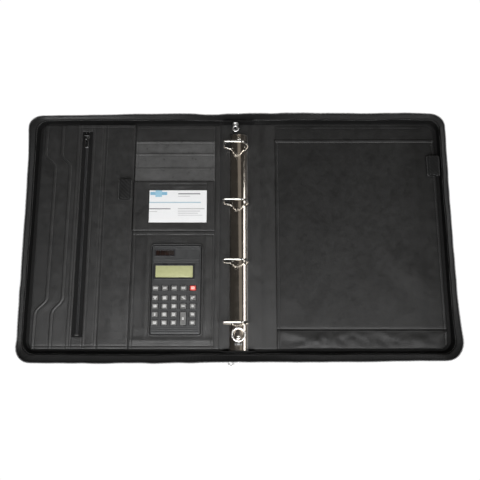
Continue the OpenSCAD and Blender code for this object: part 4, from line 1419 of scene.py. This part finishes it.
# ---------------------------------------------------------------- business card
def paper_material():
    """white card stock with printed bars and a plain blue block, drawn by the shader"""
    m, nt, b, out = new_mat("card_stock")
    c = nt.nodes.new("ShaderNodeTexCoord")
    sep = nt.nodes.new("ShaderNodeSeparateXYZ")
    nt.links.new(c.outputs["Object"], sep.inputs[0])

    def between(sock, a, bb):
        lo = math_node(nt, "GREATER_THAN", sock, a * 0.001)
        hi = math_node(nt, "LESS_THAN", sock, bb * 0.001)
        return math_node(nt, "MULTIPLY", lo, hi)

    fib = tex_noise(nt, coords(nt), 900, 3, 0.6)
    col = ramp_color(nt, fib, (0.70, 0.71, 0.72), (0.76, 0.765, 0.77), 0.3, 0.7)
    bars = [(-120, -97, 53.5, 57.8, (0.20, 0.40, 0.54)), (-113, -104, 50.8, 60.4, (0.28, 0.48, 0.60)), (-121.5, -51, 42.3, 43.8, (0.34, 0.47, 0.54)),
            (-82, -52, 54.4, 56.0, (0.20, 0.20, 0.21)), (-82, -66, 51.4, 52.2, (0.40, 0.39, 0.40)),
            (-121.5, -92, 33.4, 34.9, (0.22, 0.22, 0.23)), (-121.5, -110, 29.8, 30.6, (0.42, 0.42, 0.42)),
            (-82, -46, 33.6, 34.8, (0.38, 0.38, 0.39)), (-82, -52, 30.4, 31.4, (0.42, 0.42, 0.43)), (-82, -55, 27.6, 28.4, (0.38, 0.38, 0.39)),
            (-82, -49, 24.8, 25.5, (0.44, 0.44, 0.45))]
    for x0, x1, y0, y1, c1 in bars:
        mk = math_node(nt, "MULTIPLY", between(sep.outputs[0], x0, x1), between(sep.outputs[1], y0, y1))
        mx = nt.nodes.new("ShaderNodeMixRGB")
        nt.links.new(mk, mx.inputs[0])
        nt.links.new(col, mx.inputs[1])
        mx.inputs[2].default_value = (*c1, 1)
        col = mx.outputs[0]
    nt.links.new(col, b.inputs["Base Color"])
    b.inputs["Roughness"].default_value = 0.45
    nt.links.new(bump(nt, fib, 0.1, 0.00005), b.inputs["Normal"])
    return m


def card_top(X, Y):
    return 7.86 + 0.05 * np.sin(math.pi * (X + 124.5) / 85) + 0.02 * noise(X / 20, Y / 15, 251)


MAT["card"] = paper_material()
M = Mesh()
M.add(*sheet(-124.5, -39.5, 9, 64, card_top, lambda X, Y: card_top(X, Y) - 0.28, 5.0, 0.15, (), (), corner=2.2, corners=[(1, 1), (1, -1), (-1, 1), (-1, -1)]))
ride(M.obj("business_card_v", MAT["card"], 50), "card", "card_stock", "business_card")


# material for a clear window film, glossy and faintly smoky; no object in the scene uses it
def film_material():
    m, nt, b, out = new_mat("clear_film")
    nt.nodes.remove(b)
    tr = nt.nodes.new("ShaderNodeBsdfTransparent")
    tr.inputs[0].default_value = (0.985, 0.985, 0.98, 1)
    gl = nt.nodes.new("ShaderNodeBsdfGlossy")
    gl.inputs["Roughness"].default_value = 0.12
    mx = nt.nodes.new("ShaderNodeMixShader")
    fr = nt.nodes.new("ShaderNodeFresnel")
    fr.inputs[0].default_value = 1.35
    nt.links.new(math_node(nt, "MULTIPLY", fr.outputs[0], 0.6), mx.inputs[0])
    nt.links.new(tr.outputs[0], mx.inputs[1])
    nt.links.new(gl.outputs[0], mx.inputs[2])
    nt.links.new(mx.outputs[0], out.inputs[0])
    wv = tex_noise(nt, coords(nt), 60, 2, 0.5)
    nt.links.new(bump(nt, wv, 0.2, 0.0004), gl.inputs["Normal"])
    return m


# ---------------------------------------------------------------- calculator
cad_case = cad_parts["calculator_case"]
M = Mesh()
x0, x1, y0, y1 = ccx - cw / 2, ccx + cw / 2, ccy - cl / 2, ccy + cl / 2
M.add(*rr_prism(x0, y0, x1, y1, 2.4, 5.1, 7.2, 0.05, 1.0, 3))
# fascia: a rectilinear plate with real wells for display, cell and keys
wells = [(-110.3, -60.7, -59.6, -43.5, 7.6), (-110.1, -30.5, -85.3, -23.0, 7.8)]
KEYS = []
for r in range(5):
    for c in range(5):
        if r == 4 and c == 3:
            continue
        ky = -73.8 if r == 0 else -73.8 - 12.9 - (r - 1) * 10.8
        hh = 3.5
        if r == 3 and c == 3:
            ky, hh = ky - 5.4, 8.9
        KEYS.append((r, c, -109 + 12.3 * c, ky, hh))
        wells.append((-109 + 12.3 * c - 4.55, ky - hh - 0.35, -109 + 12.3 * c + 4.55, ky + hh + 0.35, 7.3))
wells = [tuple(round(q, 3) for q in w) for w in wells]
gx = sorted(set([x0 + 1.6, x1 - 1.6] + [w[i] for w in wells for i in (0, 2)]))
gy = sorted(set([y0 + 1.6, y1 - 1.6] + [w[i] for w in wells for i in (1, 3)]))
hgt = np.full((len(gy) - 1, len(gx) - 1), 9.0)
for w in wells:
    for j in range(len(gy) - 1):
        for i in range(len(gx) - 1):
            mx_, my_ = (gx[i] + gx[i + 1]) / 2, (gy[j] + gy[j + 1]) / 2
            if w[0] < mx_ < w[2] and w[1] < my_ < w[3]:
                hgt[j, i] = w[4]
vd, fl = {}, []


def vid(x, y, z):
    key = (round(x, 3), round(y, 3), round(z, 3))
    if key not in vd:
        vd[key] = len(vd)
    return vd[key]


for j in range(len(gy) - 1):
    for i in range(len(gx) - 1):
        h = hgt[j, i]
        a_, b_, c_, d_ = (gx[i], gy[j]), (gx[i + 1], gy[j]), (gx[i + 1], gy[j + 1]), (gx[i], gy[j + 1])
        fl.append([vid(*a_, h), vid(*b_, h), vid(*c_, h), vid(*d_, h)])
        if i + 1 < len(gx) - 1 and hgt[j, i + 1] != h:
            g = hgt[j, i + 1]
            fl.append([vid(*b_, h), vid(*b_, g), vid(*c_, g), vid(*c_, h)])
        if j + 1 < len(gy) - 1 and hgt[j + 1, i] != h:
            g = hgt[j + 1, i]
            fl.append([vid(*c_, h), vid(*c_, g), vid(*d_, g), vid(*d_, h)])
M.add([k for k in vd], np.array(fl), 0, False)
# rounded rim round the fascia
rim = []
for d, z in ((0, 7.2), (0, 8.2), (0.12, 8.55), (0.4, 8.83), (0.8, 8.97), (1.62, 9.0)):
    p_ = rrect(x0 + d, y0 + d, x1 - d, y1 - d, max(2.4 - d, 0.05) if d < 1.6 else 0.02, 6)
    rim.append(np.column_stack([p_, np.full(len(p_), z)]))
M.add(*loft(rim, caps=False))
# moulded ridges above the cell and below the keys, frame lines beside the display
for y in (-17.9, -19.9, -21.4, -35.2, -37.2, -39.4):
    M.add(*rr_prism(x0 + 2.2, y - 0.42, x1 - 2.2, y + 0.42, 0.4, 8.9, 9.35, 0.25, 0, 2, 3))
for y in (-126.6, -128.8, -131.2):
    M.add(*rr_prism(x0 + 1.8, y - 0.5, x1 - 1.8, y + 0.5, 0.45, 8.9, 9.45, 0.3, 0, 2, 3))
for x in (x0 + 1.7, x1 - 1.7):
    M.add(*rr_prism(x - 0.45, y0 + 9, x + 0.45, y1 - 8, 0.4, 8.9, 9.3, 0.25, 0, 2, 3))
o = M.obj("calculator_case_v", MAT["calc"], 35)
ride(o, "calculator", "calculator_plastic", "calculator_case")
# battery door and four screws under the case
M = Mesh()
M.add(*rr_prism(-100, -120, -66, -98, 2, 4.86, 5.3, 0.12, 0.12, 2))
for x, y in ((-110, -21), (-55, -21), (-110, -129), (-55, -129)):
    rings = []
    for r_, z_ in ((1.9, 5.3), (1.9, 4.92), (1.5, 4.82), (0.6, 4.9)):
        a = np.arange(20) * 2 * math.pi / 20
        rings.append(np.column_stack([x + r_ * np.cos(a), y + r_ * np.sin(a), np.full(20, z_)]))
    M.add(*loft(rings))
ride(M.obj("calculator_back_details", MAT["calc_trim"], 40), "calculator", "calculator_plastic")
# dark surrounds of display, cell and key bank
M = Mesh()
M.add(*rr_frame((-112.4, -62.9, -57.4, -41.4), (-109.6, -60.0, -60.3, -44.2), 1.6, 0.8, 8.9, 9.55, 0.3))
M.add(*rr_frame((-111.6, -31.9, -83.9, -21.7), (-109.7, -30.1, -85.7, -23.4), 1.2, 0.6, 8.9, 9.3, 0.2))
for r, c, kx, ky, hh in KEYS:
    M.add(*rr_frame((kx - 4.95, ky - hh - 0.85, kx + 4.95, ky + hh + 0.85), (kx - 4.45, ky - hh - 0.3, kx + 4.45, ky + hh + 0.3), 1.3, 1.0, 8.6, 9.12, 0.12, 2, 4))
ride(M.obj("calculator_surrounds", MAT["calc_trim"], 40), "calculator", "calculator_plastic")


def lcd_material():
    """reflective liquid-crystal pane: olive ground with faint segment cells"""
    m, nt, b, out = new_mat("display_glass")
    v = coords(nt)
    n = tex_noise(nt, v, 240, 3, 0.6)
    col = ramp_color(nt, n, (0.385, 0.395, 0.205), (0.43, 0.44, 0.235), 0.3, 0.7)
    br = nt.nodes.new("ShaderNodeTexBrick")
    br.inputs["Scale"].default_value = 200
    br.inputs["Mortar Size"].default_value = 0.03
    br.inputs["Color1"].default_value = (1, 1, 1, 1)
    br.inputs["Color2"].default_value = (0.97, 0.97, 0.97, 1)
    br.inputs["Mortar"].default_value = (0.93, 0.93, 0.93, 1)
    nt.links.new(v, br.inputs["Vector"])
    mx = nt.nodes.new("ShaderNodeMixRGB")
    mx.blend_type = "MULTIPLY"
    mx.inputs[0].default_value = 0.5
    nt.links.new(col, mx.inputs[1])
    nt.links.new(br.outputs["Color"], mx.inputs[2])
    nt.links.new(mx.outputs[0], b.inputs["Base Color"])
    b.inputs["Roughness"].default_value = 0.28
    b.inputs["Coat Weight"].default_value = 0.5
    b.inputs["Coat Roughness"].default_value = 0.06
    nt.links.new(bump(nt, n, 0.05, 0.0001), b.inputs["Normal"])
    return m


def solar_material():
    m, nt, b, out = new_mat("solar_glass")
    v = coords(nt)
    n = tex_noise(nt, v, 150, 3, 0.6)
    nt.links.new(ramp_color(nt, n, (0.004, 0.003, 0.003), (0.020, 0.010, 0.008), 0.25, 0.75), b.inputs["Base Color"])
    b.inputs["Roughness"].default_value = 0.15
    b.inputs["Coat Weight"].default_value = 0.6
    nt.links.new(bump(nt, n, 0.05, 0.0001), b.inputs["Normal"])
    return m


MAT["lcd"], MAT["solar"] = lcd_material(), solar_material()
M = Mesh()
M.add(*rr_prism(-110.15, -60.55, -59.75, -43.65, 0.5, 7.7, 8.8, 0.12, 0, 2, 4))
ride(M.obj("calculator_display_v", MAT["lcd"], 40), "calculator", "display_glass", "calculator_display")
M = Mesh()
M.add(*rr_prism(-109.95, -30.35, -85.45, -23.15, 0.4, 7.9, 8.85, 0.12, 0, 2, 4), 0)
for i in range(1, 4):
    x = -109.95 + 24.5 * i / 4
    M.add(*rr_prism(x - 0.14, -30.1, x + 0.14, -23.4, 0.1, 8.75, 8.93, 0.04, 0, 1, 2), 1)
ride(M.obj("calculator_solar_cell_v", [MAT["solar"], MAT["darkmetal"]], 40), "calculator", "solar_glass", "calculator_solar_cell")


def key_marks(M, r, c, kx, ky, hh):
    """plain pale inlays in place of printed characters"""
    z0, z1 = 9.5, 9.78
    bars = []
    if r == 0:
        w = (6.0, 4.6, 5.6, 4.8, 4.6)[c]
        bars = [(-w / 2, -1.0, w / 2, 1.0)] if c < 4 else [(-2.3, -1.9, 2.3, 1.9)]
    elif hh > 5:
        bars = [(-1.5, -1.7, 1.5, 1.7)]
    elif c in (1, 2):
        bars = [(-2.15, -1.9, 2.15, 1.9)]
    elif c == 0:
        bars = {1: [(-2.4, 0.2, 2.4, 1.8), (-1.3, -1.9, 1.3, 0.2)], 2: [(-2.2, -1.7, 2.2, 1.7)], 3: [(-0.95, -2.1, 0.95, 2.1)], 4: [(-2.3, -1.7, 2.3, 1.9)]}[r]
    elif c == 3:
        bars = {1: [(-2.2, 0.0, 0.6, 1.6), (-0.6, -1.7, 2.2, 0.0)], 2: [(-2.3, -0.9, 2.3, 0.8)], 3: [(-2.1, -1.7, 2.1, 1.7)]}.get(r, [(-1.2, -1.8, 1.2, 1.8)])
    else:
        bars = {1: [(-2.2, -1.6, 0.4, 1.0), (-0.4, 0.0, 2.3, 1.8)], 2: [(-1.5, -1.5, 1.5, 1.5)], 3: [(-2.0, -1.5, 2.0, 1.6)], 4: [(-2.2, -1.5, 2.2, 1.4)]}[r]
    for a0, b0, a1, b1 in bars:
        M.add(*rr_prism(kx + a0, ky + b0, kx + a1, ky + b1, 0.5, z0, z1, 0.1, 0, 2, 3), 1)


for r, c, kx, ky, hh in KEYS:
    M = Mesh()
    red = r == 0 and c == 4
    M.add(*rr_prism(kx - 4.2, ky - hh, kx + 4.2, ky + hh, 0.9, 7.2, 9.72, 0.55, 0.1, 4, 4, 0.10, 0.32), 0)
    key_marks(M, r, c, kx, ky, hh)
    name = f"key_row{r + 1}_col{c + 1}"
    o = M.obj(name + "_v", [MAT["red"], MAT["redmark"]] if red else [MAT["key"], MAT["mark"]], 40)
    ride(o, "body_" + name, "red_key" if red else "grey_key", name)


# ---------------------------------------------------------------- stage, light, camera
def stage_floor():
    M = Mesh()
    n = 24
    g = np.linspace(-6000, 6000, n)
    X, Y = np.meshgrid(g, g)
    V = np.stack([X, Y, np.full(X.shape, -0.35)], -1).reshape(-1, 3)
    M.add(V, grid_faces(n, n, flip=True))
    m = bpy.data.materials.new("floor")
    m.use_nodes = True
    nt = m.node_tree
    nt.nodes.clear()
    out = nt.nodes.new("ShaderNodeOutputMaterial")
    em = nt.nodes.new("ShaderNodeEmission")
    em.inputs[0].default_value = (1, 1, 1, 1)
    em.inputs[1].default_value = 1.02
    df = nt.nodes.new("ShaderNodeBsdfDiffuse")
    df.inputs[0].default_value = (0.75, 0.75, 0.75, 1)
    lp = nt.nodes.new("ShaderNodeLightPath")
    mx = nt.nodes.new("ShaderNodeMixShader")
    nt.links.new(lp.outputs["Is Camera Ray"], mx.inputs[0])
    nt.links.new(df.outputs[0], mx.inputs[1])
    nt.links.new(em.outputs[0], mx.inputs[2])
    nt.links.new(mx.outputs[0], out.inputs[0])
    o = M.obj("stage_floor", m)


stage_floor()
world = bpy.data.worlds.new("studio")
bpy.context.scene.world = world
world.use_nodes = True
wn = world.node_tree
wn.nodes.clear()
wo = wn.nodes.new("ShaderNodeOutputWorld")
bg = wn.nodes.new("ShaderNodeBackground")
bg.inputs[0].default_value = (1.0, 0.94, 0.86, 1)
bg.inputs[1].default_value = 0.05
bg2 = wn.nodes.new("ShaderNodeBackground")
bg2.inputs[0].default_value = (1, 1, 1, 1)
bg2.inputs[1].default_value = 1.02
lp = wn.nodes.new("ShaderNodeLightPath")
mixw = wn.nodes.new("ShaderNodeMixShader")
wn.links.new(lp.outputs["Is Camera Ray"], mixw.inputs[0])
wn.links.new(bg.outputs[0], mixw.inputs[1])
wn.links.new(bg2.outputs[0], mixw.inputs[2])
wn.links.new(mixw.outputs[0], wo.inputs[0])


def area(name, loc, target, size, power, color=(1, 1, 1)):
    d = bpy.data.lights.new(name, "AREA")
    d.shape = "RECTANGLE"
    d.size, d.size_y = size
    d.energy = power
    d.color = color
    o = bpy.data.objects.new(name, d)
    bpy.context.scene.collection.objects.link(o)
    from mathutils import Vector
    o.location = loc
    o.rotation_euler = (Vector(target) - Vector(loc)).to_track_quat("-Z", "Y").to_euler()
    return o


area("key_box", (0.0, -0.60, 1.05), (0, 0, 0), (1.3, 0.55), 18)
area("front_box", (0.0, -1.05, 0.55), (0, -0.05, 0), (1.2, 0.35), 6)
area("right_strip", (1.16, -0.09, 0.50), (0, -0.08, 0), (1.05, 0.34), 5.6)
area("ceiling", (0.40, 0.32, 1.35), (0, 0.0, 0), (1.7, 0.62), 0.85, (1.0, 0.92, 0.82))

cam = bpy.data.cameras.new("camera")
cam.sensor_width = 36
cam.lens = 44.55
cam.clip_start, cam.clip_end = 0.02, 50
co = bpy.data.objects.new("camera", cam)
co.location = (0.0021, -0.1745, 0.786)
co.rotation_euler = (math.radians(12), 0, 0)
bpy.context.scene.collection.objects.link(co)
bpy.context.scene.camera = co
sc = bpy.context.scene
sc.view_settings.view_transform = "Standard"
sc.view_settings.look = "None"
sc.view_settings.exposure = 0
sc.view_settings.gamma = 1
sc.cycles.use_denoising = True
sc.cycles.max_bounces = 8
